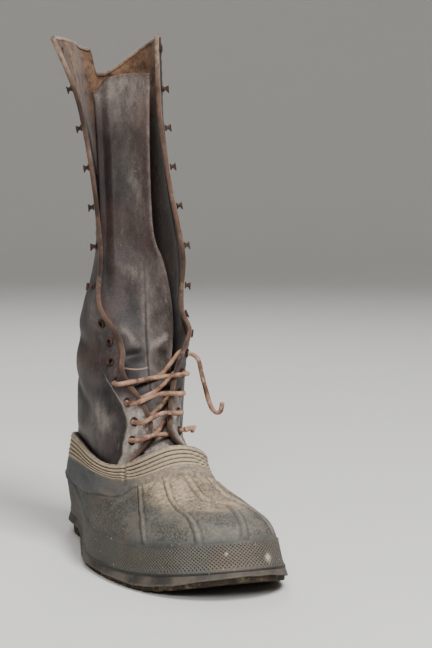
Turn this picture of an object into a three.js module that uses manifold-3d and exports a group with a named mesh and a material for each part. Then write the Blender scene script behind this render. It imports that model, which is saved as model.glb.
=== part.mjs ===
// Tall lace-up pac boot for the right foot: a moulded rubber bottom on a rubber sole,
// with a slack leather shaft, a leather tongue, rusty hooks and eyelets, and a short leather lace.
// Millimetres, +Z up, toe towards -Y, medial side towards +X, origin under the middle of its box.
// Forms are worked out at a station along the foot (from the heel's back towards the toe),
// an offset across it (medial positive) and a height above the floor.

import * as THREE from 'three';
import { mergeVertices } from 'three/addons/utils/BufferGeometryUtils.js';
import Module from 'manifold-3d';

// Driving dimensions of the foot
const SOLE_LENGTH = 318;
const BALL_LATERAL = 64;
const BALL_MEDIAL = 60.5;
const HEEL_HALF_WIDTH = 37.5;
const TOE_SWING = 15;
const TOE_SPRING = 15;

// Walls and clearances
const RUBBER_WALL = 3;
const LEATHER_WALL = 2.4;
const TONGUE_WALL = 2;
const INSOLE_THICKNESS = 4;
const GAP = 0.35;
const NEST_GAP = 0.9;

// The foot's outline swells from the heel to the ball between these shares of its length
const SWELL_FROM = { lateral: 0.14, medial: 0.25 };
const BALL_SHARE = { lateral: 0.57, medial: 0.66 };
const SWING_FROM = 0.45;
const HEEL_REACH = 46;
const TOE_REACH = 112;
const TOE_SIDE = { lateral: 1.1, medial: 0.74 };
const END_POWER = 2.25;
const SHAFT_ROUNDNESS = 0.9;

// Relief on the rubber bottom
const FOXING_STEP = 1.3;
const RIB_STEP = 1.5;
const RIB_HALF_TURN = 0.0026;
const RIB_EDGE_TURN = 0.0022;
const BAND_STEP = 0.9;
const BAND_DEPTH = 31;
const STITCH_ROWS = 4;
const STITCH_PITCH = 5;
const STITCH_RIDGE = 0.9;

// Outsole
const FLAT_FROM = 150;
const FLAT_TO = 250;
const HEEL_BREAST = 84;
const ARCH_RISE = 9;
const HEEL_LIP = 11.4;
const WAIST_LIP = 2.6;
const FOREFOOT_LIP = 4.8;
const TREAD_DEPTH = 2.5;
const TREAD_GROOVE = 3;
const TREAD_PITCH = 12;
const TREAD_RUNS = [
  { from: 14, to: 74 },
  { from: 160, to: 300 },
];

// Shaft details
const SHAFT_TUCK = 22;
const EYESTAY_WIDTH = 0.085;
const EYESTAY_STEP = 0.9;
const CUFF_DEPTH = 10;
const CUFF_STEP = 1.1;
const EYELET_INSET = 0.034;
const EYELET_COUNT = 7;
const FIRST_EYELET_Z = 97.2;
const EYELET_PITCH = 15.4;
const MEDIAL_EYELET_RISE = 5.3;
const HOOK_COUNT = 6;
const FIRST_HOOK_Z = 219;
const HOOK_PITCH = 32.8;
const TOP_EYELET_DROP = 11;
const EYELET_HOLE = 3;

// A named row for each line of numbers.
const table = (columns, rows) =>
  rows.map((row) => Object.fromEntries(columns.map((column, i) => [column, row[i]])));

// The foxing's upper edge over the feather line: it climbs from the ball to the heel.
const FOXING_ROWS = table(
  ['station', 'height'],
  [
    [0, 36],
    [45, 33],
    [86, 27],
    [128, 26],
    [172, 24],
    [206, 21],
    [318, 20.5],
  ],
);

// Ribs over the vamp: where each leaves the foxing, and how far round it leans at the collar band.
const RIBS = table(
  ['turn', 'lean'],
  [
    [0.357, 0.019],
    [0.432, 0.006],
    [0.505, -0.014],
    [0.566, -0.006],
    [0.643, -0.019],
  ],
);

// Control rings of the rubber bottom from the feather line up to the collar. The heights are at the
// heel's back, the waist, the ball and the front of each ring.
const RUBBER_RINGS = table(
  ['back', 'front', 'heel', 'lateral', 'medial', 'swing', 'toe', 'zBack', 'zWaist', 'zBall', 'zFront'],
  [
    [4.0, 315, 34.5, 60.0, 56.5, 15, 112, 23, 13, 13.5, 24.5],
    [3.5, 308, 38.0, 58.0, 54.5, 14, 112, 44, 35, 34.5, 44],
    [4.0, 301, 39.5, 53.5, 52.0, 13, 112, 55, 46.5, 46, 53],
    [5.0, 287, 39.0, 48.0, 46.0, 11, 112, 63.5, 57, 55, 60],
    [6.5, 246, 38.0, 42.0, 41.0, 8, 108, 70.5, 65.5, 63, 64.5],
    [8.0, 212, 36.5, 39.0, 41.0, 5, 104, 77.5, 74, 71, 83],
    [10.0, 195, 35.5, 37.0, 45.0, 4, 100, 84.5, 83, 80, 99],
  ],
);

// Control rings of the shaft above the collar. Each ring would close at front, but the throat is cut
// from it at the lateral and medial edges, which the slack leather carries outwards.
const SHAFT_RINGS = table(
  ['z', 'back', 'front', 'lateral', 'medial', 'latStation', 'latOffset', 'medStation', 'medOffset', 'latRise', 'medRise'],
  [
    [101, 12, 188, -39.5, 48, 162, -8, 158, 15, 0, 0],
    [122, 13, 170, -39, 49, 156, -9, 153, 15, 0, 0],
    [150, 13, 156, -38.5, 50, 140, -22.5, 142, 24, 0, 0],
    [168, 12, 148, -35.5, 49.5, 129, -19.5, 132, 34.5, 0, 0],
    [183, 11, 142, -34, 49, 121, -22.5, 124, 42.5, 0, 0],
    [199, 10.2, 136, -29.5, 48.5, 114.4, -32, 118.5, 37.5, 0, 0],
    [215, 9.5, 130, -25, 48, 108, -33, 113, 39.5, 0, 0],
    [247, 8, 122, -16, 47, 100, -28, 107, 43, 0, 0],
    [300, 7, 114, -14, 44, 92, -30.5, 96, 36, 0, 0],
    [350, 6, 110, -22, 42, 85, -37, 89, 30.5, 1, 1],
    [376, 6.5, 109, -28, 42, 80, -44, 86, 29, 7, 9],
    [399, 8, 108, -33, 42, 75, -60, 82, 29, 25, 29],
  ],
);
const THROAT_FOOT = { latStation: 157, medStation: 147 };
const EDGE_PULL_FROM = 0.17;
const EDGE_PULL_POWER = 1.6;
const RIM_LIFT_POWER = 1.2;
const LATERAL_RIM = { from: 0.018, over: 0.034, least: 0.78 };

// The tongue: its middle, half width and how far its edges fall back, at each height.
const TONGUE_ROWS = table(
  ['z', 'station', 'offset', 'half', 'bow'],
  [
    [88, 161.5, 1.5, 16.5, 6],
    [104, 148.5, 3, 16, 7],
    [128, 140, 3, 20, 10],
    [152, 125, 4, 24, 11],
    [180, 111, 5, 30, 10],
    [210, 100, 6, 30, 8],
    [238, 95, 4, 27, 7],
    [265, 91, 1.5, 21.5, 6],
    [332, 87, 0, 21, 5],
    [394, 85, -1, 23, 5],
  ],
);

const smooth = (x) => {
  const t = Math.min(1, Math.max(0, x));
  return t * t * (3 - 2 * t);
};

// The cubic through four heights at a ring's back, waist, ball and front.
const HEIGHT_SHARES = [0, 0.4, 0.8, 1];
function heightAt(share, heights) {
  return heights.reduce((sum, height, i) => {
    const weight = HEIGHT_SHARES.reduce(
      (product, other, j) => (j === i ? product : (product * (share - other)) / (HEIGHT_SHARES[i] - other)),
      1,
    );
    return sum + height * weight;
  }, 0);
}

// Where a station, offset and height lie in the boot's own frame. The shift centres the sole's width.
const X_SHIFT = -0.62;
const place = (station, offset, z) => new THREE.Vector3(offset + X_SHIFT, SOLE_LENGTH / 2 - station, z);

// How far a rounded end has swelled out at a distance from its tip.
const roundEnd = (distance, reach) => (1 - Math.max(0, 1 - distance / reach) ** END_POWER) ** (1 / END_POWER);

// The plan of a foot ring. A turn runs from 0 at the heel's back over 0.25 on the lateral side to 0.5 at the toe.
function footPlan(ring, turn) {
  const angle = 2 * Math.PI * turn;
  const share = (1 - Math.cos(angle)) / 2;
  const side = Math.sin(angle) >= 0 ? 'lateral' : 'medial';
  const swell = smooth((share - SWELL_FROM[side]) / (BALL_SHARE[side] - SWELL_FROM[side]));
  const half = ring.heel + (ring[side] - ring.heel) * swell;
  const station = ring.back + (ring.front - ring.back) * share;
  const heelEnd = roundEnd(station - ring.back, HEEL_REACH);
  const toeEnd = roundEnd(ring.front - station, ring.toe * TOE_SIDE[side]);
  const reach = half * heelEnd * toeEnd;
  const swing = ring.swing * Math.max(0, (share - SWING_FROM) / (1 - SWING_FROM)) ** 2;
  return { share, station, offset: swing + (side === 'lateral' ? -reach : reach) };
}

function footPoint(ring, turn) {
  const plan = footPlan(ring, turn);
  const z = heightAt(plan.share, [ring.zBack, ring.zWaist, ring.zBall, ring.zFront]);
  return place(plan.station, plan.offset, z);
}

// A smooth curve through points, at a place counted in points.
function through(points, at) {
  const last = points.length - 1;
  const index = Math.min(last - 1, Math.max(0, Math.floor(at)));
  const local = at - index;
  const pick = (i) => points[Math.min(last, Math.max(0, i))];
  const [a, b, c, d] = [-1, 0, 1, 2].map((step) => pick(index + step));
  const mix = (p0, p1, p2, p3) =>
    p1 + 0.5 * local * (p2 - p0 + local * (2 * p0 - 5 * p1 + 4 * p2 - p3 + local * (3 * (p1 - p2) + p3 - p0)));
  return new THREE.Vector3(mix(a.x, b.x, c.x, d.x), mix(a.y, b.y, c.y, d.y), mix(a.z, b.z, c.z, d.z));
}

// The rubber bottom's surface along one meridian, measured in millimetres up from the feather line.
const MERIDIAN_STEPS = 60;
const meridians = new Map();
function meridian(turn) {
  if (!meridians.has(turn)) {
    const controls = RUBBER_RINGS.map((ring) => footPoint(ring, turn));
    const points = [];
    const lengths = [0];
    for (let i = 0; i <= MERIDIAN_STEPS; i++) {
      points.push(through(controls, (i / MERIDIAN_STEPS) * (controls.length - 1)));
      if (i > 0) lengths.push(lengths[i - 1] + points[i].distanceTo(points[i - 1]));
    }
    meridians.set(turn, { points, lengths, total: lengths[MERIDIAN_STEPS] });
  }
  return meridians.get(turn);
}

function alongMeridian(turn, height) {
  const { points, lengths } = meridian(turn);
  let i = 1;
  while (i < MERIDIAN_STEPS && lengths[i] < height) i++;
  return points[i - 1].clone().lerp(points[i], (height - lengths[i - 1]) / (lengths[i] - lengths[i - 1]));
}

const NORMAL_TURN = 0.004;
const NORMAL_RISE = 2;
function rubberPoint(turn, height, offset) {
  const around = alongMeridian(turn + NORMAL_TURN, height).sub(alongMeridian(turn - NORMAL_TURN, height));
  const up = alongMeridian(turn, height + NORMAL_RISE).sub(alongMeridian(turn, height - NORMAL_RISE));
  return alongMeridian(turn, height).addScaledVector(around.cross(up).normalize(), offset);
}

// Solids from rings of points. Rings either run round into the first one again, or end in flat caps
// whose opposite points are paired by pairShift.
function skin(rings, { closed = false, pairShift = 0 } = {}) {
  const count = rings[0].length;
  const positions = rings.flat().flatMap((p) => [p.x, p.y, p.z]);
  const faces = [];
  const joints = closed ? rings.length : rings.length - 1;
  for (let j = 0; j < joints; j++) {
    const low = j * count;
    const high = ((j + 1) % rings.length) * count;
    for (let i = 0; i < count; i++) {
      const next = (i + 1) % count;
      faces.push([low + i, low + next, high + next], [low + i, high + next, high + i]);
    }
  }
  const cap = (start, flip) => {
    const pair = (i) => start + ((pairShift - i + 2 * count) % count);
    for (let i = 0; i < count / 2; i++) {
      const [a, b, c, d] = [start + (i % count), start + ((i + 1) % count), pair(i + 1), pair(i)];
      for (const face of [[a, c, b], [a, d, c]]) {
        if (new Set(face).size === 3) faces.push(flip ? face.reverse() : face);
      }
    }
  };
  if (!closed) {
    cap(0, false);
    cap((rings.length - 1) * count, true);
  }
  return outward(positions, faces);
}

// A geometry with its faces turned outwards.
function outward(positions, faces) {
  const corner = (i) => new THREE.Vector3(...positions.slice(3 * i, 3 * i + 3));
  const volume = faces.reduce((sum, [a, b, c]) => sum + corner(a).dot(corner(b).cross(corner(c))), 0);
  const indices = faces.flatMap((face) => (volume < 0 ? [face[0], face[2], face[1]] : face));
  return new THREE.BufferGeometry()
    .setAttribute('position', new THREE.Float32BufferAttribute(positions, 3))
    .setIndex(indices);
}

const wasm = await Module();
wasm.setup();

function toSolid(geometry) {
  const bare = geometry.clone();
  bare.deleteAttribute('normal');
  bare.deleteAttribute('uv');
  const merged = mergeVertices(bare, 1e-4);
  return new wasm.Manifold(
    new wasm.Mesh({
      numProp: 3,
      vertProperties: merged.getAttribute('position').array,
      triVerts: new Uint32Array(merged.index.array),
    }),
  );
}

function toGeometry(solid) {
  const mesh = solid.getMesh();
  return new THREE.BufferGeometry()
    .setAttribute('position', new THREE.BufferAttribute(new Float32Array(mesh.vertProperties), 3))
    .setIndex(new THREE.BufferAttribute(new Uint32Array(mesh.triVerts), 1));
}

// Finishes
const finish = (color, roughness, metalness = 0) => new THREE.MeshStandardMaterial({ color, roughness, metalness });
const RUBBER = finish(0x6e6757, 0.85);
const SOLE_RUBBER = finish(0x4a3e33, 0.95);
const LEATHER = finish(0x4d4443, 0.65);
const TONGUE_LEATHER = finish(0x5c524d, 0.7);
const FELT = finish(0x8a7b66, 1);
const RUST = finish(0x5e3a2b, 0.8, 0.4);
const RAWHIDE = finish(0xa2714f, 0.8);

const boot = new THREE.Group();
function addPiece(name, geometry, material) {
  const mesh = new THREE.Mesh(geometry, material);
  mesh.name = name;
  boot.add(mesh);
  return mesh;
}

// Outsole: heel, arch, flat forefoot and toe spring, with a grooved tread that runs out at its edge.
const SOLE_RING = {
  back: 0,
  front: SOLE_LENGTH,
  heel: HEEL_HALF_WIDTH,
  lateral: BALL_LATERAL,
  medial: BALL_MEDIAL,
  swing: TOE_SWING,
  toe: TOE_REACH,
};
const FEATHER = RUBBER_RINGS[0];
const soleTop = (station) =>
  heightAt(station / SOLE_LENGTH, [FEATHER.zBack, FEATHER.zWaist, FEATHER.zBall, FEATHER.zFront]);

function soleBottom(station) {
  if (station > FLAT_TO) return TOE_SPRING * ((station - FLAT_TO) / (SOLE_LENGTH - FLAT_TO)) ** 1.6;
  if (station <= HEEL_BREAST || station >= FLAT_FROM) return 0;
  return ARCH_RISE * (1 - smooth((station - HEEL_BREAST) / (FLAT_FROM - HEEL_BREAST)));
}

// The lip of the moulded rand, over the darker tread.
function soleLip(station) {
  if (station <= HEEL_BREAST) return HEEL_LIP;
  const share = smooth((station - HEEL_BREAST) / (FLAT_FROM - HEEL_BREAST));
  return soleBottom(station) + WAIST_LIP + (FOREFOOT_LIP - WAIST_LIP) * share;
}

function soleStations() {
  const wall = 0.4;
  const stations = [];
  const grooved = (station) => TREAD_RUNS.some((run) => station >= run.from - 2 && station <= run.to + 2);
  for (const run of TREAD_RUNS) {
    for (let start = run.from; start + TREAD_GROOVE <= run.to; start += TREAD_PITCH) {
      stations.push({ station: start - wall, depth: 0 }, { station: start, depth: TREAD_DEPTH });
      stations.push({ station: start + TREAD_GROOVE, depth: TREAD_DEPTH });
      stations.push({ station: start + TREAD_GROOVE + wall, depth: 0 });
    }
  }
  const ends = [0.8, 3, 7];
  const plain = [...ends, HEEL_BREAST, HEEL_BREAST + 0.8, 100, 117, 134, FLAT_FROM, 306, ...ends.map((e) => SOLE_LENGTH - e)];
  for (const station of plain) if (!grooved(station)) stations.push({ station, depth: 0 });
  return stations.sort((a, b) => a.station - b.station);
}

// Rows up the sole's side: inset from the outline, a further inset at the heel, how far up it is from
// the floor side to the lip (to 1) and on to the feather line (to 2), and a rise in millimetres.
const SOLE_ROWS = table(
  ['inset', 'heelInset', 'up', 'rise', 'grooved'],
  [
    [3.0, 2.0, 0, 0, true],
    [2.2, 1.0, 1, -0.9, false],
    [0.3, 0.0, 1, -0.5, false],
    [0.0, 0.0, 1, 0.5, false],
    [1.2, 0.0, 1.5, 0, false],
    [2.4, 0.0, 2, 0, false],
  ],
);

function buildOutsole() {
  const stations = soleStations();
  const turnOf = (station) => Math.acos(1 - (2 * station) / SOLE_LENGTH) / (2 * Math.PI);
  const around = [
    { turn: 0, station: 0, depth: 0 },
    ...stations.map((s) => ({ ...s, turn: turnOf(s.station) })),
    { turn: 0.5, station: SOLE_LENGTH, depth: 0 },
    ...stations.map((s) => ({ ...s, turn: 1 - turnOf(s.station) })).reverse(),
  ];
  const rings = SOLE_ROWS.map((row) => {
    const ring = { ...SOLE_RING, back: row.inset + row.heelInset, front: SOLE_LENGTH - row.inset };
    ring.heel -= row.inset + row.heelInset;
    for (const side of ['lateral', 'medial']) ring[side] -= row.inset;
    return around.map(({ turn, station, depth }) => {
      const plan = footPlan(ring, turn);
      const low = soleBottom(station) + (row.grooved ? depth : 0);
      const lip = soleLip(station);
      const z = row.up < 1 ? low : lip + (soleTop(plan.station) - lip) * (row.up - 1);
      return place(plan.station, plan.offset, z + row.rise);
    });
  });
  addPiece('outsole', skin(rings), SOLE_RUBBER);
}

// Rubber bottom: the hollow moulded shoe, its foxing band, ribs, collar band and stitched ridges.
const PLAIN_COLUMNS = 38;
const COLUMN_CLEARANCE = 0.006;
function rubberColumns() {
  const columns = [];
  const reach = RIB_HALF_TURN + RIB_EDGE_TURN;
  for (const { turn, lean } of RIBS) {
    for (const side of [-1, 1]) {
      columns.push({ turn: turn + side * reach, lean, rib: 0 });
      columns.push({ turn: turn + side * RIB_HALF_TURN, lean, rib: RIB_STEP });
    }
  }
  const near = (turn, rib) => {
    const first = rib.turn - reach - COLUMN_CLEARANCE + Math.min(0, rib.lean);
    const last = rib.turn + reach + COLUMN_CLEARANCE + Math.max(0, rib.lean);
    return turn > first && turn < last;
  };
  for (let i = 0; i < PLAIN_COLUMNS; i++) {
    const turn = (i + 0.5) / PLAIN_COLUMNS;
    if (!RIBS.some((rib) => near(turn, rib))) columns.push({ turn, lean: 0, rib: 0 });
  }
  return columns.sort((a, b) => a.turn - b.turn);
}

function foxingTop(turn) {
  const { station } = footPlan(FEATHER, turn);
  const last = FOXING_ROWS.length - 1;
  const i = Math.min(last, Math.max(1, FOXING_ROWS.findIndex((row) => row.station >= station)));
  const [low, high] = [FOXING_ROWS[i - 1], FOXING_ROWS[i]];
  return low.height + (high.height - low.height) * ((station - low.station) / (high.station - low.station));
}

// Relief rows from the feather line to the collar: height along the meridian and how far the wall stands out.
function reliefRows({ turn, rib }) {
  const { total } = meridian(turn);
  const top = foxingTop(turn);
  const band = total - BAND_DEPTH;
  const rows = [
    { height: 0, out: FOXING_STEP + 0.3 },
    { height: top / 2, out: FOXING_STEP },
    { height: top - 1, out: FOXING_STEP },
    { height: top, out: rib * 0.6 },
  ];
  for (const share of [0.25, 0.5, 0.75]) rows.push({ height: top + (band - 1 - top) * share, out: rib });
  rows.push({ height: band - 1, out: rib * 0.6 }, { height: band, out: BAND_STEP });
  for (let i = STITCH_ROWS; i > 0; i--) {
    rows.push({ height: total - i * STITCH_PITCH - 1, out: BAND_STEP - STITCH_RIDGE });
    rows.push({ height: total - (i - 0.5) * STITCH_PITCH - 1, out: BAND_STEP });
  }
  rows.push({ height: total, out: 0 });
  return rows;
}

// A leaning column bends round as it climbs, and keeps its rows' distance from the collar.
const LEAN_FROM = 0.35;
function reliefColumn(column) {
  const { total } = meridian(column.turn);
  return reliefRows(column).map(({ height, out }) => {
    const share = height / total;
    const turn = column.turn + column.lean * Math.max(0, (share - LEAN_FROM) / (1 - LEAN_FROM)) ** 2;
    return rubberPoint(turn, height + (meridian(turn).total - total) * smooth(share), out);
  });
}

const INNER_SHARES = [0, 0.16, 0.34, 0.52, 0.68, 0.82, 0.92, 1];
function buildRubberBottom() {
  const columns = rubberColumns();
  const outer = columns.map(reliefColumn);
  const inner = columns.map(({ turn }) =>
    INNER_SHARES.map((share) => rubberPoint(turn, share * meridian(turn).total, -RUBBER_WALL)),
  );
  const ringsOf = (lines) => lines[0].map((_, row) => lines.map((line) => line[row]));
  const rings = [...ringsOf(outer), ...ringsOf(inner).reverse()];
  for (const point of [...rings.at(0), ...rings.at(-1)]) point.z = soleTop(SOLE_LENGTH / 2 - point.y) + GAP;
  addPiece('rubber_bottom', skin(rings, { closed: true }), RUBBER);
}

// Insole board on the outsole, inside the rubber wall.
function buildInsole() {
  const inset = RUBBER_WALL + 2.6;
  const ring = { ...FEATHER, back: FEATHER.back + inset, front: FEATHER.front - inset };
  for (const side of ['heel', 'lateral', 'medial']) ring[side] -= inset;
  const columns = 40;
  const rings = [GAP, INSOLE_THICKNESS].map((rise) =>
    Array.from({ length: columns }, (_, i) => {
      const plan = footPlan(ring, i / columns);
      return place(plan.station, plan.offset, soleTop(plan.station) + rise);
    }),
  );
  addPiece('insole', skin(rings), FELT);
}

// The shaft: control rings tucked inside the rubber collar first, then the rings of the table.
const turnAt = (ring, station) =>
  Math.acos((ring.back + ring.front - 2 * station) / (ring.front - ring.back)) / (2 * Math.PI);
const COLLAR = RUBBER_RINGS[RUBBER_RINGS.length - 1];
const TUCK_HEIGHTS = [SHAFT_TUCK, SHAFT_TUCK / 2, 0];

function tuckedRing(below) {
  return {
    latTurn: turnAt(COLLAR, THROAT_FOOT.latStation),
    medTurn: -turnAt(COLLAR, THROAT_FOOT.medStation),
    at: (turn) => rubberPoint(turn, meridian(turn).total - below, -RUBBER_WALL - NEST_GAP),
  };
}

// The share of a ring's rise that its rim has at a turn: a shoulder on the lateral side, a slope on the medial.
function lateralLift(turn) {
  const { from, over, least } = LATERAL_RIM;
  return smooth((turn - from) / over) * (least + (1 - least) * Math.min(1, 4 * turn));
}
const medialLift = (turn) => Math.sin(Math.min(Math.PI / 2, 2 * Math.PI * Math.abs(turn))) ** RIM_LIFT_POWER;

function freeRing(row) {
  const plain = (turn) => {
    const angle = 2 * Math.PI * turn;
    const middle = (row.lateral + row.medial) / 2;
    const half = (row.medial - row.lateral) / 2;
    return {
      station: (row.back + row.front) / 2 - ((row.front - row.back) / 2) * Math.cos(angle),
      offset: middle - half * Math.sign(turn) * Math.pow(Math.abs(Math.sin(angle)), SHAFT_ROUNDNESS),
    };
  };
  const latTurn = turnAt(row, row.latStation);
  const medTurn = -turnAt(row, row.medStation);
  const latPull = row.latOffset - plain(latTurn).offset;
  const medPull = row.medOffset - plain(medTurn).offset;
  const at = (turn) => {
    const { station, offset } = plain(turn);
    const edge = turn > 0 ? latTurn : -medTurn;
    const share = Math.max(0, (Math.abs(turn) - EDGE_PULL_FROM) / (edge - EDGE_PULL_FROM));
    const pull = (turn > 0 ? latPull : medPull) * share ** EDGE_PULL_POWER;
    const rise = turn > 0 ? row.latRise * lateralLift(turn) : row.medRise * medialLift(turn);
    return place(station, offset + pull, row.z + rise);
  };
  return { latTurn, medTurn, at };
}

const shaftRings = [...TUCK_HEIGHTS.map(tuckedRing), ...SHAFT_RINGS.map(freeRing)];
const SHAFT_TOP = shaftRings.length - 1;

// A point of the shaft's outer face: across runs from the lateral edge at 0 over the back to the medial edge at 1.
function shaftFace(across, level) {
  const controls = shaftRings.map(({ latTurn, medTurn, at }) => at(latTurn + (medTurn - latTurn) * across));
  return through(controls, level);
}

const STEP_ACROSS = 0.004;
const STEP_LEVEL = 0.04;
function shaftFrame(across, level) {
  const side = shaftFace(across - STEP_ACROSS, level).sub(shaftFace(across + STEP_ACROSS, level)).normalize();
  const low = Math.max(0, level - STEP_LEVEL);
  const high = Math.min(SHAFT_TOP, level + STEP_LEVEL);
  const up = shaftFace(across, high).sub(shaftFace(across, low)).normalize();
  const normal = side.clone().cross(up).normalize();
  return { point: shaftFace(across, level), normal, up };
}

const shaftPoint = (across, level, out) => {
  const { point, normal } = shaftFrame(across, level);
  return point.addScaledVector(normal, out);
};

// The level at which the shaft's face reaches a height.
function levelAt(across, z) {
  let [low, high] = [TUCK_HEIGHTS.length - 1, SHAFT_TOP];
  for (let i = 0; i < 30; i++) {
    const middle = (low + high) / 2;
    if (shaftFace(across, middle).z < z) low = middle;
    else high = middle;
  }
  return (low + high) / 2;
}

function shaftColumns() {
  const half = [0, 0.042, EYESTAY_WIDTH - 0.004, EYESTAY_WIDTH];
  for (const across of [0.12, 0.17, 0.22, 0.27, 0.32, 0.37, 0.415, 0.45, 0.475]) half.push(across);
  return [...half, 0.5, ...half.map((across) => 1 - across).reverse()];
}

function shaftLevels() {
  const levels = [0, 1, 2];
  for (let level = 2.5; level < SHAFT_TOP - 0.3; level += 0.5) levels.push(level);
  const ringRise = SHAFT_RINGS[SHAFT_RINGS.length - 1].z - SHAFT_RINGS[SHAFT_RINGS.length - 2].z;
  const cuff = CUFF_DEPTH / ringRise;
  return [...levels, SHAFT_TOP - cuff, SHAFT_TOP - cuff + 0.03, SHAFT_TOP];
}

function shaftRelief(across, level) {
  const collarLevel = TUCK_HEIGHTS.length - 1;
  if (level <= collarLevel) return 0;
  const cuffFrom = shaftLevels().at(-2);
  const cuff = level >= cuffFrom - 1e-6 ? CUFF_STEP : 0;
  const edge = Math.min(across, 1 - across);
  const eyestay = edge < EYESTAY_WIDTH - 1e-6 ? EYESTAY_STEP : 0;
  return Math.max(cuff, eyestay * smooth(level - collarLevel));
}

// Eyelets and hooks sit on the eyestay, a fixed way in from each throat edge.
const MEDIAL = 1 - EYELET_INSET;
const FASTENER_SIDES = [
  { side: 'lateral', across: EYELET_INSET },
  { side: 'medial', across: MEDIAL },
];

const eyeletHeight = (across, i) => FIRST_EYELET_Z + i * EYELET_PITCH + (across > 0.5 ? MEDIAL_EYELET_RISE : 0);
const eyeletHeights = (across) => [
  ...Array.from({ length: EYELET_COUNT }, (_, i) => eyeletHeight(across, i)),
  shaftFace(across, SHAFT_TOP).z - TOP_EYELET_DROP,
];
const hookHeights = Array.from({ length: HOOK_COUNT }, (_, i) => FIRST_HOOK_Z + i * HOOK_PITCH);

// A frame on the eyestay whose Z points out of the leather and whose Y points up the throat.
function eyestayMatrix(across, z, out) {
  const { point, normal, up } = shaftFrame(across, levelAt(across, z));
  const right = up.clone().cross(normal).normalize();
  const matrix = new THREE.Matrix4().makeBasis(right, normal.clone().cross(right), normal);
  return matrix.setPosition(point.addScaledVector(normal, EYESTAY_STEP + out));
}

function buildShaft() {
  const columns = shaftColumns();
  const rings = shaftLevels().map((level) => [
    ...columns.map((across) => shaftPoint(across, level, shaftRelief(across, level))),
    ...columns.map((across) => shaftPoint(across, level, -LEATHER_WALL)).reverse(),
  ]);
  let leather = toSolid(skin(rings, { pairShift: 2 * columns.length - 1 }));
  const punch = new THREE.CylinderGeometry(EYELET_HOLE, EYELET_HOLE, 5 * LEATHER_WALL, 8).rotateX(Math.PI / 2);
  for (const { across } of FASTENER_SIDES) {
    for (const z of eyeletHeights(across)) {
      leather = leather.subtract(toSolid(punch.clone().applyMatrix4(eyestayMatrix(across, z, -LEATHER_WALL / 2))));
    }
  }
  addPiece('leather_shaft', toGeometry(leather), LEATHER);
}

// Eyelets: a flange on the leather and a barrel through it.
const EYELET_BORE = 2.2;
const EYELET_FLANGE = 4.6;
const EYELET_FLANGE_THICKNESS = 0.9;
function buildEyelets() {
  const barrel = EYELET_HOLE - GAP - 0.1;
  const profile = [
    [EYELET_BORE, -LEATHER_WALL],
    [barrel, -LEATHER_WALL],
    [barrel, 0],
    [EYELET_FLANGE, 0],
    [EYELET_BORE, EYELET_FLANGE_THICKNESS],
    [EYELET_BORE, -LEATHER_WALL],
  ].map(([r, y]) => new THREE.Vector2(r, y));
  const segments = 8;
  const ring = new THREE.LatheGeometry(profile, segments).rotateX(Math.PI / 2);
  for (const { side, across } of FASTENER_SIDES) {
    eyeletHeights(across).forEach((z, i) => {
      const eyelet = addPiece(`eyelet_${side}_${i + 1}`, ring, RUST);
      eyestayMatrix(across, z, 0.85).decompose(eyelet.position, eyelet.quaternion, eyelet.scale);
    });
  }
}

// Lacing hooks: a rivet foot and a plate bent back over it, open towards the outside of the leg.
const HOOK_OUTLINE = table(
  ['along', 'out'],
  [
    [-4.2, 0],
    [4.2, 0],
    [4.2, 1.1],
    [1.4, 1.6],
    [1.4, 2.8],
    [4.6, 4.2],
    [4.2, 5.2],
    [-1.6, 3.8],
    [-1.6, 1.6],
    [-4.2, 1.1],
  ],
);
const HOOK_WIDTH = 5.4;
function buildHooks() {
  for (const { side, across } of FASTENER_SIDES) {
    const away = side === 'lateral' ? -1 : 1;
    const outline = new THREE.Shape(HOOK_OUTLINE.map(({ along, out }) => new THREE.Vector2(away * along, out)));
    const hook = new THREE.ExtrudeGeometry(outline, { depth: HOOK_WIDTH, bevelEnabled: false });
    hook.translate(0, 0, -HOOK_WIDTH / 2).rotateX(Math.PI / 2);
    hookHeights.forEach((z, i) => {
      const piece = addPiece(`hook_${side}_${i + 1}`, hook, RUST);
      eyestayMatrix(across, z, 0.7).decompose(piece.position, piece.quaternion, piece.scale);
    });
  }
}

// Tongue: a bowed sheet of leather from inside the vamp to the top of the shaft.
function buildTongue() {
  const columns = 9;
  const rings = TONGUE_ROWS.map((row) => {
    const face = (out) =>
      Array.from({ length: columns }, (_, i) => {
        const share = (2 * i) / (columns - 1) - 1;
        return place(row.station + out - row.bow * share ** 2, row.offset + row.half * share, row.z);
      });
    return [...face(0), ...face(-TONGUE_WALL).reverse()];
  });
  addPiece('tongue', skin(rings, { pairShift: 2 * columns - 1 }), TONGUE_LEATHER);
}

// Lace: bars over the throat between the lowest eyelets, a long free end and a frayed stub on the medial side.
// The lowest bar runs under the medial flap to the eyelet that the stub comes out of.
const LACE_RADIUS = 1.9;
const LACE_BARS = 4;
const LACE_EDGE_LIFT = 2;
const LACE_SLACK = 0.7;
const LACE_LIFT = EYELET_FLANGE_THICKNESS + LACE_RADIUS + 1.3;
const LONG_END_EYELET = 4;
const LONG_END = table(
  ['station', 'offset', 'z'],
  [
    [136, 45, 159],
    [139, 47, 147],
    [142, 49.5, 134],
    [144, 52.5, 122],
    [146, 56.5, 116],
    [148, 60, 117],
    [149, 61.5, 125],
  ],
);
const STUB_EYELET = 0;
const STUB_END = table(
  ['station', 'offset', 'z'],
  [
    [150, 29.5, 104],
    [150.5, 33, 104.5],
    [150.5, 36, 103.5],
  ],
);

function laceTube(points, stepLength) {
  const path = new THREE.CatmullRomCurve3(points);
  const sides = 8;
  const round = Array.from({ length: sides }, (_, i) => {
    const angle = (2 * Math.PI * i) / sides;
    return new THREE.Vector2(LACE_RADIUS * Math.cos(angle), LACE_RADIUS * Math.sin(angle));
  });
  const steps = Math.max(3, Math.round(path.getLength() / stepLength));
  return new THREE.ExtrudeGeometry(new THREE.Shape(round), { steps, extrudePath: path, bevelEnabled: false });
}

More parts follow.
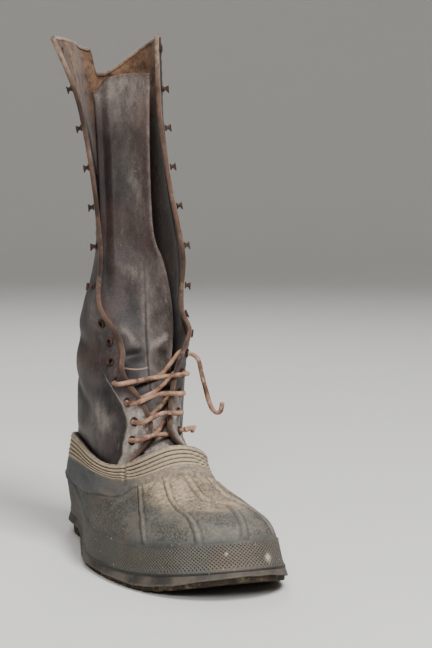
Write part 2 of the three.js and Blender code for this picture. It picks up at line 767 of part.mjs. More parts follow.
function buildLace() {
  const over = (across, z, more = 0) => shaftPoint(across, levelAt(across, z), EYESTAY_STEP + LACE_LIFT + more);
  const under = (across, z) => shaftPoint(across, levelAt(across, z), -LEATHER_WALL - LACE_RADIUS - LACE_SLACK);
  for (let i = 0; i < LACE_BARS; i++) {
    const [low, high] = FASTENER_SIDES.map(({ across }) => eyeletHeight(across, i));
    const [start, end] = [over(EYELET_INSET, low), over(MEDIAL, high)];
    const [near, far] = [over(0.004, low, LACE_EDGE_LIFT), over(0.996, high, LACE_EDGE_LIFT)];
    const middle = near.clone().lerp(far, 0.5);
    const route = [start, near, middle, far, end];
    if (i === STUB_EYELET) route.splice(2, 3, near.clone().lerp(far, 0.35), under(0.997, high), under(0.984, high));
    addPiece(`lace_bar_${i + 1}`, laceTube(route, 8), RAWHIDE);
  }
  const run = (eyelet, more, rows) => [
    over(MEDIAL, eyeletHeight(MEDIAL, eyelet), more),
    ...rows.map(({ station, offset, z }) => place(station, offset, z)),
  ];
  addPiece('lace_end_long', laceTube(run(LONG_END_EYELET, 0.3, LONG_END), 6), RAWHIDE);
  addPiece('lace_end_stub', laceTube(run(STUB_EYELET, 0.3, STUB_END), 5), RAWHIDE);
}

buildOutsole();
buildRubberBottom();
buildInsole();
buildShaft();
buildEyelets();
buildHooks();
buildTongue();
buildLace();

export default boot;
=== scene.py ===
"""Looks of a tall lace-up pac boot: rubber bottom, slack leather shaft, tongue, fittings and a rawhide lace.

Forms are worked out in millimetres at a station along the foot, an offset across it and a height,
and go into the meshes in metres.
"""

import logging
import math
from dataclasses import dataclass, field
from enum import Enum
from typing import Any

import bmesh
import bpy
import numpy as np
from mathutils import Matrix, Vector, noise


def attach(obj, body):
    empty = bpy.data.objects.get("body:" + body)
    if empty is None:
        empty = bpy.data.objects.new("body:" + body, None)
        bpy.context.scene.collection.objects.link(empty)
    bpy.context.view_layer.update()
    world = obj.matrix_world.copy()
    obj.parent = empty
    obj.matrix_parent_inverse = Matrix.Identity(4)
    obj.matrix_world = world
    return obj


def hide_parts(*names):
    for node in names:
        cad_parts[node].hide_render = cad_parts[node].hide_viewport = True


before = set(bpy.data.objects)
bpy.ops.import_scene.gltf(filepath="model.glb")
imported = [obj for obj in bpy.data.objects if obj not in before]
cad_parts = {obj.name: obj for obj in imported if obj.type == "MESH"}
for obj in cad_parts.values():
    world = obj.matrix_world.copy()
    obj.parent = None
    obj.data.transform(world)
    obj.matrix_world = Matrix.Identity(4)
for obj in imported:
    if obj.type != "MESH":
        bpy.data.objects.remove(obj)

LOG = logging.getLogger("boot")
Array = np.ndarray
Material = bpy.types.Material
Mesh = bmesh.types.BMesh
Piece = bpy.types.Object
Pair = tuple[float, float]
Triple = tuple[float, float, float]
MM = 0.001
TINY = 1e-9
MERGE = 1e-6
BODY = "root"
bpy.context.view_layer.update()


class Side(Enum):
    """The two sides of the throat, by the name that the nodes use."""

    LATERAL = "lateral"
    MEDIAL = "medial"


class Slot(Enum):
    """The record's material slots."""

    SOLE = "sole_rubber"
    RUBBER = "rubber"
    FELT = "felt"
    LEATHER = "leather"
    TONGUE = "tongue_leather"
    METAL = "rusty_metal"
    LACE = "rawhide"


def smooth(x: Array) -> Array:
    """Eases from 0 to 1 as x goes from 0 to 1."""
    t = np.clip(x, 0, 1)
    return t * t * (3 - 2 * t)


def bell(x: Array, half: float) -> Array:
    """A soft bump of height one at x = 0, which has mostly gone at twice its half width."""
    return np.exp(-((x / half) ** 2))


def unit(vectors: Array) -> Array:
    """Vectors at length one."""
    return vectors / np.maximum(np.linalg.norm(vectors, axis=-1, keepdims=True), TINY)


def wobble(points: Array, cell: float, seed: float) -> Array:
    """Smooth noise from -1 to 1.

    Args:
        points: Points in millimetres.
        cell: How far across its lumps are, in millimetres.
        seed: Where in the noise to start.

    Returns:
        A value for each point.
    """
    flat = np.asarray(points, float).reshape(-1, 3) / cell + seed
    values = np.array([noise.noise(Vector(p)) for p in flat])
    return values.reshape(np.shape(points)[:-1])


def through(controls: Array, at: Array) -> Array:
    """A smooth curve through control points, for each of many columns.

    Args:
        controls: Points, shaped (controls, columns, 3).
        at: Places along the curve counted in controls, shaped (columns, rows).

    Returns:
        Points, shaped (columns, rows, 3).
    """
    last = len(controls) - 1
    index = np.clip(np.floor(at).astype(int), 0, last - 1)
    local = (at - index)[..., None]
    column = np.arange(controls.shape[1])[:, None]
    a, b, c, d = (controls[np.clip(index + step, 0, last), column] for step in (-1, 0, 1, 2))
    return b + 0.5 * local * (c - a + local * (2 * a - 5 * b + 4 * c - d + local * (3 * (b - c) + d - a)))


def run_along(path: Array) -> Array:
    """The length of a path up to each of its points."""
    return np.concatenate([[0], np.cumsum(np.linalg.norm(np.diff(path, axis=0), axis=1))])


def along(points: Array, count: int) -> Array:
    """A smooth path of evenly spaced points through a few route points.

    Args:
        points: Route points, shaped (points, 3).
        count: How many points to give back.

    Returns:
        Points, shaped (count, 3).
    """
    controls = np.asarray(points, float)[:, None, :]
    fine = through(controls, np.linspace(0, len(points) - 1, 40 * len(points))[None, :])[0]
    lengths = run_along(fine)
    steps = np.linspace(0, lengths[-1], count)
    return np.stack([np.interp(steps, lengths, fine[:, k]) for k in range(3)], -1)


@dataclass(frozen=True)
class FootRing:
    """One control ring of the foot, with its heights at the back, waist, ball and front."""

    back: float
    front: float
    heel: float
    lateral: float
    medial: float
    swing: float
    toe: float
    heights: tuple[float, float, float, float]

    def inset(self, by: float, heel: float = 0) -> "FootRing":
        """The ring pulled in by a distance all round, and by some more at the heel."""
        return FootRing(self.back + by + heel, self.front - by, self.heel - by - heel, self.lateral - by,
                        self.medial - by, self.swing, self.toe, self.heights)


@dataclass(frozen=True)
class FootForm:
    """The foot's own plan and surface, shared by the sole, the rubber bottom and the shaft."""

    length: float = 318
    shift: float = -0.62
    swell_lateral: float = 0.14
    swell_medial: float = 0.25
    ball_lateral: float = 0.57
    ball_medial: float = 0.66
    swing_from: float = 0.45
    heel_reach: float = 46
    toe_lateral: float = 1.1
    toe_medial: float = 0.74
    end_power: float = 2.25
    spring: float = 15
    flat_from: float = 150
    flat_to: float = 250
    breast: float = 84
    arch: float = 9
    heel_lip: float = 11.4
    waist_lip: float = 2.6
    forefoot_lip: float = 4.8
    steps: int = 60
    turn_probe: float = 0.004
    height_probe: float = 2
    height_shares: tuple[float, ...] = (0, 0.4, 0.8, 1)
    spring_power: float = 1.6
    sole: FootRing = FootRing(0, 318, 37.5, 64, 60.5, 15, 112, (0, 0, 0, 0))
    rings: tuple[FootRing, ...] = (
        FootRing(4.0, 315, 34.5, 60.0, 56.5, 15, 112, (23, 13, 13.5, 24.5)),
        FootRing(3.5, 308, 38.0, 58.0, 54.5, 14, 112, (44, 35, 34.5, 44)),
        FootRing(4.0, 301, 39.5, 53.5, 52.0, 13, 112, (55, 46.5, 46, 53)),
        FootRing(5.0, 287, 39.0, 48.0, 46.0, 11, 112, (63.5, 57, 55, 60)),
        FootRing(6.5, 246, 38.0, 42.0, 41.0, 8, 108, (70.5, 65.5, 63, 64.5)),
        FootRing(8.0, 212, 36.5, 39.0, 41.0, 5, 104, (77.5, 74, 71, 83)),
        FootRing(10.0, 195, 35.5, 37.0, 45.0, 4, 100, (84.5, 83, 80, 99)),
    )
    foxing: tuple[Pair, ...] = (
        (0, 36), (45, 33), (86, 27), (128, 26), (172, 24), (206, 21), (318, 20.5),
    )

    def place(self, station: Array, offset: Array, z: Array) -> Array:
        """Where a station, offset and height lie in the boot's frame, in millimetres."""
        station, offset, z = np.broadcast_arrays(station, offset, z)
        return np.stack([offset + self.shift, self.length / 2 - station, z], -1).astype(float)

    def height_at(self, share: Array, heights: tuple[float, ...]) -> Array:
        """The cubic through four heights.

        Args:
            share: Shares along the foot.
            heights: Heights at the back, waist, ball and front.

        Returns:
            The height at each share.
        """
        total = 0
        for i, height in enumerate(heights):
            weight = 1.0
            for j, other in enumerate(self.height_shares):
                if j != i:
                    weight = weight * (share - other) / (self.height_shares[i] - other)
            total = total + height * weight
        return total

    def round_end(self, distance: Array, reach: Array) -> Array:
        """How far a rounded end has swelled out at a distance from its tip."""
        bare = np.maximum(0, 1 - np.maximum(0, distance) / reach)
        return np.maximum(0, 1 - bare ** self.end_power) ** (1 / self.end_power)

    def plan(self, ring: FootRing, turn: Array) -> tuple[Array, Array, Array]:
        """A ring's plan at a turn, which runs from the heel's back over the lateral side to the toe.

        Args:
            ring: The control ring.
            turn: Turns, 0 at the heel's back and 0.5 at the toe.

        Returns:
            The share along the ring, the station and the offset.
        """
        angle = 2 * math.pi * np.asarray(turn, float)
        share = (1 - np.cos(angle)) / 2
        lateral = np.sin(angle) >= 0
        ball = np.where(lateral, self.ball_lateral, self.ball_medial)
        side = np.where(lateral, ring.lateral, ring.medial)
        start = np.where(lateral, self.swell_lateral, self.swell_medial)
        half = ring.heel + (side - ring.heel) * smooth((share - start) / (ball - start))
        station = ring.back + (ring.front - ring.back) * share
        toe = ring.toe * np.where(lateral, self.toe_lateral, self.toe_medial)
        heel_end = self.round_end(station - ring.back, self.heel_reach)
        reach = half * heel_end * self.round_end(ring.front - station, toe)
        swing = ring.swing * np.maximum(0, (share - self.swing_from) / (1 - self.swing_from)) ** 2
        return share, station, swing + np.where(lateral, -reach, reach)

    def sole_top(self, station: Array) -> Array:
        """The height of the feather line over a station."""
        return self.height_at(np.asarray(station, float) / self.length, self.rings[0].heights)

    def sole_bottom(self, station: Array) -> Array:
        """The sole's underside: heel, arch, flat forefoot and toe spring.

        Args:
            station: Stations along the foot.

        Returns:
            The height at each station.
        """
        station = np.asarray(station, float)
        curl = np.maximum(0, (station - self.flat_to) / (self.length - self.flat_to))
        spring = self.spring * curl ** self.spring_power
        arch = self.arch * (1 - smooth((station - self.breast) / (self.flat_from - self.breast)))
        return np.where((station > self.breast) & (station < self.flat_from), arch, spring)

    def sole_lip(self, station: Array) -> Array:
        """The rand's lip, over the darker tread.

        Args:
            station: Stations along the foot.

        Returns:
            The height at each station.
        """
        station = np.asarray(station, float)
        share = smooth((station - self.breast) / (self.flat_from - self.breast))
        thick = self.waist_lip + (self.forefoot_lip - self.waist_lip) * share
        return np.where(station <= self.breast, self.heel_lip, self.sole_bottom(station) + thick)

    def foxing_top(self, turns: Array) -> Array:
        """How far up the meridians the foxing reaches.

        Args:
            turns: Turns round the foot.

        Returns:
            The height at each turn.
        """
        _, station, _ = self.plan(self.rings[0], turns)
        stations, heights = np.array(self.foxing).T
        return np.interp(station, stations, heights)

    def meridians(self, turns: Array) -> tuple[Array, Array]:
        """Points up the rubber.

        Args:
            turns: Turns round the foot.

        Returns:
            The points at each turn, and their distances from the feather line.
        """
        rows = []
        for ring in self.rings:
            share, station, offset = self.plan(ring, turns)
            rows.append(self.place(station, offset, self.height_at(share, ring.heights)))
        controls = np.stack(rows)
        at = np.linspace(0, len(self.rings) - 1, self.steps + 1)
        points = through(controls, np.tile(at, (len(turns), 1)))
        steps = np.linalg.norm(np.diff(points, axis=1), axis=2)
        return points, np.concatenate([np.zeros((len(turns), 1)), np.cumsum(steps, 1)], 1)

    def rise(self, turns: Array) -> Array:
        """The length of the meridian at each turn."""
        return self.meridians(turns)[1][:, -1]

    def at(self, turns: Array, heights: Array) -> Array:
        """Points of the rubber's bare surface.

        Args:
            turns: Turns round the foot.
            heights: Heights along the meridians, shaped (turns, rows).

        Returns:
            Points, shaped (turns, rows, 3).
        """
        points, lengths = self.meridians(turns)
        found = np.empty(heights.shape + (3,))
        for i, height in enumerate(heights):
            k = np.clip(np.searchsorted(lengths[i], height), 1, self.steps)
            share = (height - lengths[i, k - 1]) / (lengths[i, k] - lengths[i, k - 1])
            found[i] = points[i, k - 1] + (points[i, k] - points[i, k - 1]) * share[:, None]
        return found

    def lift(self, turns: Array, heights: Array, out: Array) -> Array:
        """Points that stand out from the rubber's surface along its normal.

        Args:
            turns: Turns round the foot.
            heights: Heights along the meridians, shaped (turns, rows).
            out: How far they stand out.

        Returns:
            Points, shaped (turns, rows, 3).
        """
        around = self.at(turns + self.turn_probe, heights) - self.at(turns - self.turn_probe, heights)
        up = self.at(turns, heights + self.height_probe) - self.at(turns, heights - self.height_probe)
        normal = unit(np.cross(around, up))
        return self.at(turns, heights) + normal * np.broadcast_to(out, heights.shape)[..., None]


@dataclass(frozen=True)
class ShaftRing:
    """One free control ring of the shaft, with the places of its two throat edges and their rise."""

    z: float
    back: float
    front: float
    lateral: float
    medial: float
    lat_station: float
    lat_offset: float
    med_station: float
    med_offset: float
    lat_rise: float
    med_rise: float


@dataclass(frozen=True)
class ShaftForm:
    """The outer face of the shaft: across runs from the lateral edge over the back to the medial edge."""

    foot: FootForm
    wall: float = 2.4
    tuck: float = 22
    nest: float = 3.9
    foot_lateral: float = 157
    foot_medial: float = 147
    pull_from: float = 0.17
    pull_power: float = 1.6
    roundness: float = 0.9
    lift_power: float = 1.2
    shoulder: Triple = (0.018, 0.034, 0.78)
    stay_step: float = 0.9
    inset: float = 0.034
    across_probe: float = 0.004
    level_probe: float = 0.04
    level_samples: int = 1200
    rings: tuple[ShaftRing, ...] = (
        ShaftRing(101, 12, 188, -39.5, 48, 162, -8, 158, 15, 0, 0),
        ShaftRing(122, 13, 170, -39, 49, 156, -9, 153, 15, 0, 0),
        ShaftRing(150, 13, 156, -38.5, 50, 140, -22.5, 142, 24, 0, 0),
        ShaftRing(168, 12, 148, -35.5, 49.5, 129, -19.5, 132, 34.5, 0, 0),
        ShaftRing(183, 11, 142, -34, 49, 121, -22.5, 124, 42.5, 0, 0),
        ShaftRing(199, 10.2, 136, -29.5, 48.5, 114.4, -32, 118.5, 37.5, 0, 0),
        ShaftRing(215, 9.5, 130, -25, 48, 108, -33, 113, 39.5, 0, 0),
        ShaftRing(247, 8, 122, -16, 47, 100, -28, 107, 43, 0, 0),
        ShaftRing(300, 7, 114, -14, 44, 92, -30.5, 96, 36, 0, 0),
        ShaftRing(350, 6, 110, -22, 42, 85, -37, 89, 30.5, 1, 1),
        ShaftRing(376, 6.5, 109, -28, 42, 80, -44, 86, 29, 7, 9),
        ShaftRing(399, 8, 108, -33, 42, 75, -60, 82, 29, 25, 29),
    )

    @property
    def collar(self) -> int:
        """The level at which the shaft leaves the rubber collar."""
        return 2

    @property
    def top(self) -> int:
        """The level of the rim."""
        return self.collar + len(self.rings)

    @staticmethod
    def turn_at(back: float, front: float, station: float) -> float:
        """The turn at which a ring passes a station."""
        return math.acos((back + front - 2 * station) / (front - back)) / (2 * math.pi)

    def tucked(self, across: Array, below: float) -> Array:
        """A ring of the shaft inside the rubber collar.

        Args:
            across: Places across the shaft.
            below: How far the ring lies below the collar's rim.

        Returns:
            A point at each place.
        """
        ring = self.foot.rings[-1]
        first = self.turn_at(ring.back, ring.front, self.foot_lateral)
        last = -self.turn_at(ring.back, ring.front, self.foot_medial)
        turns = first + (last - first) * across
        heights = self.foot.rise(turns)[:, None] - below
        return self.foot.lift(turns, heights, np.array(-self.nest))[:, 0]

    def plain(self, row: ShaftRing, turn: Array) -> tuple[Array, Array]:
        """A ring before its edges are pulled.

        Args:
            row: The control ring.
            turn: Turns round the ring.

        Returns:
            The stations and the offsets.
        """
        angle = 2 * math.pi * np.asarray(turn, float)
        middle, half = (row.lateral + row.medial) / 2, (row.medial - row.lateral) / 2
        station = (row.back + row.front) / 2 - (row.front - row.back) / 2 * np.cos(angle)
        return station, middle - half * np.sign(turn) * np.abs(np.sin(angle)) ** self.roundness

    def free(self, across: Array, row: ShaftRing) -> Array:
        """A ring of the shaft above the collar, with its slack edges carried outwards.

        Args:
            across: Places across the shaft.
            row: The control ring.

        Returns:
            A point at each place.
        """
        first = self.turn_at(row.back, row.front, row.lat_station)
        last = -self.turn_at(row.back, row.front, row.med_station)
        turn = first + (last - first) * across
        station, offset = self.plain(row, turn)
        lateral = turn > 0
        lat_pull = row.lat_offset - self.plain(row, np.array(first))[1]
        med_pull = row.med_offset - self.plain(row, np.array(last))[1]
        edge = np.where(lateral, first, -last)
        share = np.maximum(0, (np.abs(turn) - self.pull_from) / (edge - self.pull_from))
        pull = np.where(lateral, lat_pull, med_pull) * share ** self.pull_power
        quarter = np.minimum(math.pi / 2, 2 * math.pi * np.abs(turn))
        slope = row.med_rise * np.sin(quarter) ** self.lift_power
        start, over, least = self.shoulder
        shoulder = smooth((turn - start) / over) * (least + (1 - least) * np.minimum(1, 4 * turn))
        rise = np.where(lateral, row.lat_rise * shoulder, slope)
        return self.foot.place(station, offset + pull, row.z + rise)

    def face(self, across: Array, level: Array) -> Array:
        """Points of the outer face.

        Args:
            across: Places across the shaft.
            level: Levels up the shaft, shaped (places, rows).

        Returns:
            Points, shaped (places, rows, 3).
        """
        tucked = [self.tucked(across, below) for below in (self.tuck, self.tuck / 2, 0)]
        free = [self.free(across, row) for row in self.rings]
        return through(np.stack(tucked + free), level)

    def frame(self, across: Array, level: Array) -> tuple[Array, Array, Array]:
        """Points of the outer face with their directions.

        Args:
            across: Places across the shaft.
            level: Levels up the shaft, shaped (places, rows).

        Returns:
            The points, their normals and their up directions.
        """
        side = self.face(across - self.across_probe, level) - self.face(across + self.across_probe, level)
        high = np.minimum(self.top, level + self.level_probe)
        low = np.maximum(0, level - self.level_probe)
        up = unit(self.face(across, high) - self.face(across, low))
        return self.face(across, level), unit(np.cross(unit(side), up)), up

    def level_at(self, across: float, z: float) -> float:
        """The level at which the face reaches a height.

        Args:
            across: The place across the shaft.
            z: The height.

        Returns:
            The level.
        """
        levels = np.linspace(self.collar, self.top, self.level_samples)
        heights = self.face(np.array([across]), levels[None, :])[0, :, 2]
        return float(np.interp(z, heights, levels))

    def spot(self, across: float, z: float) -> tuple[Array, Array, Array]:
        """One point of the outer face with its directions.

        Args:
            across: The place across the shaft.
            z: The height.

        Returns:
            The point, its normal and its up direction.
        """
        level = self.level_at(across, z)
        point, normal, up = self.frame(np.array([across]), np.array([[level]]))
        return point[0, 0], normal[0, 0], up[0, 0]

    def fitting(self, across: float, z: float, out: float) -> Matrix:
        """A frame on the eyestay: Z points out of the leather and Y up the throat.

        Args:
            across: The place across the shaft.
            z: The height.
            out: How far it stands out of the eyestay.

        Returns:
            The frame in metres.
        """
        point, normal, up = self.spot(across, z)
        right = unit(np.cross(up, normal))
        front = np.cross(normal, right)
        origin = (point + normal * (self.stay_step + out)) * MM
        return Matrix([[right[k], front[k], normal[k], origin[k]] for k in range(3)] + [[0, 0, 0, 1]])

    def over(self, across: float, z: float, out: float) -> Array:
        """A point that stands out from the outer face at a height."""
        point, normal, _ = self.spot(across, z)
        return point + normal * out


@dataclass(frozen=True)
class FittingRows:
    """Where the eyelets and hooks sit up each side of the throat."""

    shaft: ShaftForm
    eyelets: int = 7
    first_eyelet: float = 97.2
    eyelet_pitch: float = 15.4
    medial_rise: float = 5.3
    hooks: int = 6
    first_hook: float = 219
    hook_pitch: float = 32.8
    top_drop: float = 11

    def across(self, side: Side) -> float:
        """How far across the shaft a side's fittings sit."""
        return self.shaft.inset if side is Side.LATERAL else 1 - self.shaft.inset

    def eyelet_z(self, side: Side, i: int) -> float:
        """The height of a low eyelet."""
        return self.first_eyelet + i * self.eyelet_pitch + (self.medial_rise if side is Side.MEDIAL else 0)

    def eyelet_heights(self, side: Side) -> list[float]:
        """The heights of all a side's eyelets.

        Args:
            side: The side of the throat.

        Returns:
            The heights, with the one in the top corner last.
        """
        column = np.array([self.across(side)])
        rim = self.shaft.face(column, np.array([[float(self.shaft.top)]]))[0, 0, 2]
        return [self.eyelet_z(side, i) for i in range(self.eyelets)] + [rim - self.top_drop]

    def hook_heights(self) -> list[float]:
        """The heights of a side's hooks."""
        return [self.first_hook + i * self.hook_pitch for i in range(self.hooks)]


class Sock:
    """A shader value whose arithmetic adds Math nodes."""

    def __init__(self, shader: "Shader", socket: bpy.types.NodeSocket) -> None:
        """Wraps an output socket."""
        self.shader = shader
        self.socket = socket

    def __add__(self, other: Any) -> "Sock":
        """The sum."""
        return self.shader.math("ADD", self, other)

    def __sub__(self, other: Any) -> "Sock":
        """The difference."""
        return self.shader.math("SUBTRACT", self, other)

    def __rsub__(self, other: Any) -> "Sock":
        """The difference from a number."""
        return self.shader.math("SUBTRACT", other, self)

    def __mul__(self, other: Any) -> "Sock":
        """The product."""
        return self.shader.math("MULTIPLY", self, other)

    def __truediv__(self, other: Any) -> "Sock":
        """The quotient."""
        return self.shader.math("DIVIDE", self, other)

    __radd__ = __add__
    __rmul__ = __mul__

    def wave(self) -> "Sock":
        """The sine."""
        return self.shader.math("SINE", self, 0.0)

    def part(self) -> "Sock":
        """The fraction past a whole number."""
        return self.shader.math("FRACT", self, 0.0)

    def size(self) -> "Sock":
        """The value without its sign."""
        return self.shader.math("ABSOLUTE", self, 0.0)

    def most(self, other: Any) -> "Sock":
        """The larger of two values."""
        return self.shader.math("MAXIMUM", self, other)

    def ramp(self, low: float, high: float) -> "Sock":
        """Eases from 0 to 1.

        Args:
            low: The value at which it starts.
            high: The value at which it ends.

        Returns:
            The eased value.
        """
        sockets = {"Value": self, "From Min": low, "From Max": high}
        node = self.shader.node("ShaderNodeMapRange", {"interpolation_type": "SMOOTHSTEP"}, sockets)
        return Sock(self.shader, node.outputs["Result"])


class Shader:
    """One material as it is put together from nodes."""

    def __init__(self, name: str) -> None:
        """Starts a material with an empty node tree.

        Args:
            name: The material's name.
        """
        self.material = bpy.data.materials.new(name)
        self.material.use_nodes = True
        self.tree = self.material.node_tree
        self.tree.nodes.clear()
        self.place = Sock(self, self.node("ShaderNodeTexCoord").outputs["Object"])

    def node(self, kind: str, settings: dict[str, Any] | None = None,
             sockets: dict[Any, Any] | None = None) -> bpy.types.Node:
        """Adds a node.

        Args:
            kind: The node's type.
            settings: Its own settings, which are set first.
            sockets: Values or links by the socket's name or number.

        Returns:
            The node.
        """
        node = self.tree.nodes.new(kind)
        for key, value in (settings or {}).items():
            setattr(node, key, value)
        for key, value in (sockets or {}).items():
            if isinstance(value, Sock):
                self.tree.links.new(value.socket, node.inputs[key])
            else:
                node.inputs[key].default_value = value
        return node

    def math(self, operation: str, a: Any, b: Any) -> Sock:
        """A Math node on two values."""
        return Sock(self, self.node("ShaderNodeMath", {"operation": operation}, {0: a, 1: b}).outputs[0])

    def noise(self, scale: float, detail: float = 4, rough: float = 0.55,
              stretch: Triple = (1, 1, 1)) -> Sock:
        """Noise on the piece's own coordinates.

        Args:
            scale: Its lumps are about 1 / scale metres across.
            detail: How many finer layers it has.
            rough: How strong those layers are.
            stretch: Scales along the three axes.

        Returns:
            The value.
        """
        spot = self.place
        if stretch != (1, 1, 1):
            mapping = self.node("ShaderNodeMapping", None, {"Vector": spot, "Scale": stretch})
            spot = Sock(self, mapping.outputs[0])
        sockets = {"Vector": spot, "Scale": scale, "Detail": detail, "Roughness": rough}
        return Sock(self, self.node("ShaderNodeTexNoise", None, sockets).outputs[0])

    def cells(self, scale: float, feature: str = "F1") -> Sock:
        """A pattern of cells on the piece's own coordinates.

        Args:
            scale: Its cells are about 1 / scale metres across.
            feature: Which distance it gives.

        Returns:
            The distance.
        """
        sockets = {"Vector": self.place, "Scale": scale}
        node = self.node("ShaderNodeTexVoronoi", {"feature": feature}, sockets)
        return Sock(self, node.outputs["Distance"])

    def mark(self, name: str) -> Sock:
        """A value that the mesh holds at its points."""
        return Sock(self, self.node("ShaderNodeAttribute", {"attribute_name": name}).outputs["Fac"])

    def flat(self) -> tuple[Sock, Sock]:
        """The mesh's own flat coordinates.

        Returns:
            The two coordinates in millimetres.
        """
        uv = self.node("ShaderNodeUVMap", {"uv_map": "flat"}).outputs[0]
        split = self.node("ShaderNodeSeparateXYZ", None, {0: Sock(self, uv)})
        return Sock(self, split.outputs[0]), Sock(self, split.outputs[1])

    def mix(self, share: Any, first: Any, second: Any) -> Sock:
        """A colour between two colours.

        Args:
            share: How much of the second there is.
            first: A colour's code or value.
            second: A colour's code or value.

        Returns:
            The colour.
        """
        a, b = (tint(color) if isinstance(color, str) else color for color in (first, second))
        node = self.node("ShaderNodeMix", {"data_type": "RGBA", "clamp_factor": True}, {0: share, 6: a, 7: b})
        return Sock(self, node.outputs[2])

    def surface(self, color: Sock, roughness: Any, height: Sock, depth: float,
                metallic: Any = 0.0, specular: float = 0.5, sheen: float = 0.0) -> Material:
        """Closes the material.

        Args:
            color: Base colour.
            roughness: Roughness, a value or a number.
            height: Bump height from 0 to 1.
            depth: How deep that height is, in millimetres.
            metallic: Metallic, a value or a number.
            specular: Specular level.
            sheen: Sheen weight.

        Returns:
            The material.
        """
        bump = self.node("ShaderNodeBump", None, {"Strength": 1.0, "Distance": depth * MM, "Height": height})
        shade = self.node("ShaderNodeBsdfPrincipled", None, {
            "Base Color": color, "Roughness": roughness, "Metallic": metallic,
            "Specular IOR Level": specular, "Sheen Weight": sheen, "Normal": Sock(self, bump.outputs[0]),
        })
        self.node("ShaderNodeOutputMaterial", None, {"Surface": Sock(self, shade.outputs[0])})
        return self.material


def tint(code: str) -> tuple[float, float, float, float]:
    """A colour from its code.

    Args:
        code: Its six figures.

    Returns:
        The colour in linear light.
    """
    parts = [int(code[i:i + 2], 16) / 255 for i in (0, 2, 4)]
    linear = [p / 12.92 if p <= 0.04045 else ((p + 0.055) / 1.055) ** 2.4 for p in parts]
    return (*linear, 1.0)


@dataclass(frozen=True)
class LeatherFinish:
    """Old oiled leather: blotched, scuffed and dusty, with painted highlights on its high spots, painted shade
    in its creases, a fine grain and sewn seams.
    """

    name: str
    dark: str
    main: str
    warm: str
    # The colour of dust, also used for painted highlights.
    dust: str
    shadow: str = "1b1616"
    thread: str = "93836f"
    seam: float = 0
    dash: float = 0
    grain: float = 850

    def material(self) -> Material:
        """Builds the material.

        Returns:
            The material.
        """
        s = Shader(self.name)
        color = s.mix(s.noise(60, 6, 0.62, (1, 1, 0.4)).ramp(0.4, 0.6), self.dark, self.main)
        color = s.mix(s.noise(13, 3).ramp(0.5, 0.68) * 0.7, color, self.warm)
        grain = s.cells(self.grain)
        fine = s.noise(420, 6, 0.65)
        lines = s.cells(230, "DISTANCE_TO_EDGE").ramp(0.0, 0.05)
        # Real dust and, on the shaft and tongue, painted highlights, both mixed in the dust colour.
        dust_and_highlight = (s.noise(150, 8, 0.75, (1, 1, 0.5)).ramp(0.38, 0.64) * 0.55 + 0.45) * s.mark("dust")
        color = s.mix(dust_and_highlight, color, self.dust)
        scuff = s.noise(150, 6, 0.7, (1, 1, 0.25)).ramp(0.6, 0.72)
        color = s.mix(scuff * 0.22, color, self.dust)
        color = s.mix(s.noise(300, 3, 0.6).ramp(0.7, 0.76) * 0.8, color, self.thread)
        color = s.mix(s.mark("wear") * (0.35 + 0.65 * fine.ramp(0.35, 0.6)), color, self.warm)
        # Painted shade in creases and hollows; the grain's cell edges darken a little too.
        color = s.mix((1 - lines) * 0.12 + s.mark("hollow_shade") * 0.85, color, self.shadow)
        color = s.mix(grain.ramp(0.35, 0.75) * 0.25, color, self.shadow)
        height = fine * 0.5 + (1 - grain) * 0.35 + lines * 0.12
        across, up = s.flat()
        sewn = (1 - (across - self.seam).size().ramp(0.3, 0.85)) * s.mark("sewn")
        stitch = sewn
        if self.dash:
            stitch = sewn * (1 - ((up / self.dash).part() - 0.5).size().ramp(0.3, 0.42))
        color = s.mix(sewn * 0.35, color, self.dust)
        color = s.mix(stitch * 0.8, color, self.thread)
        height = height + stitch * 1.2 - sewn * 0.6
        rough = 0.4 + 0.4 * dust_and_highlight + 0.12 * fine
        return s.surface(color, rough, height, 0.25, specular=0.24)


@dataclass(frozen=True)
class SuedeFinish:
    """The flesh side and cut edges of leather: tan, fibrous and soiled, with painted shade in hollows."""

    name: str
    dark: str
    main: str
    pale: str
    tip: str
    fibre: float = 500

    def material(self) -> Material:
        """Builds the material.

        Returns:
            The material.
        """
        s = Shader(self.name)
        fibres = s.noise(self.fibre, 6, 0.7, (1, 1, 0.35))
        color = s.mix(s.noise(26, 4).ramp(0.35, 0.66), self.dark, self.main)
        color = s.mix(s.noise(75, 5, 0.65).ramp(0.52, 0.72) * 0.8, color, self.pale)
        color = s.mix(s.mark("tip") * s.noise(120, 6, 0.7).ramp(0.3, 0.6), color, self.tip)
        color = s.mix(fibres.ramp(0.5, 0.32) * 0.55, color, self.dark)
        # Painted shade in hollows.
        color = s.mix(s.mark("hollow_shade") * 0.8, color, self.dark)
        return s.surface(color, 0.92, fibres + 0.6 * s.noise(160, 4), 0.5, specular=0.2, sheen=0.15)


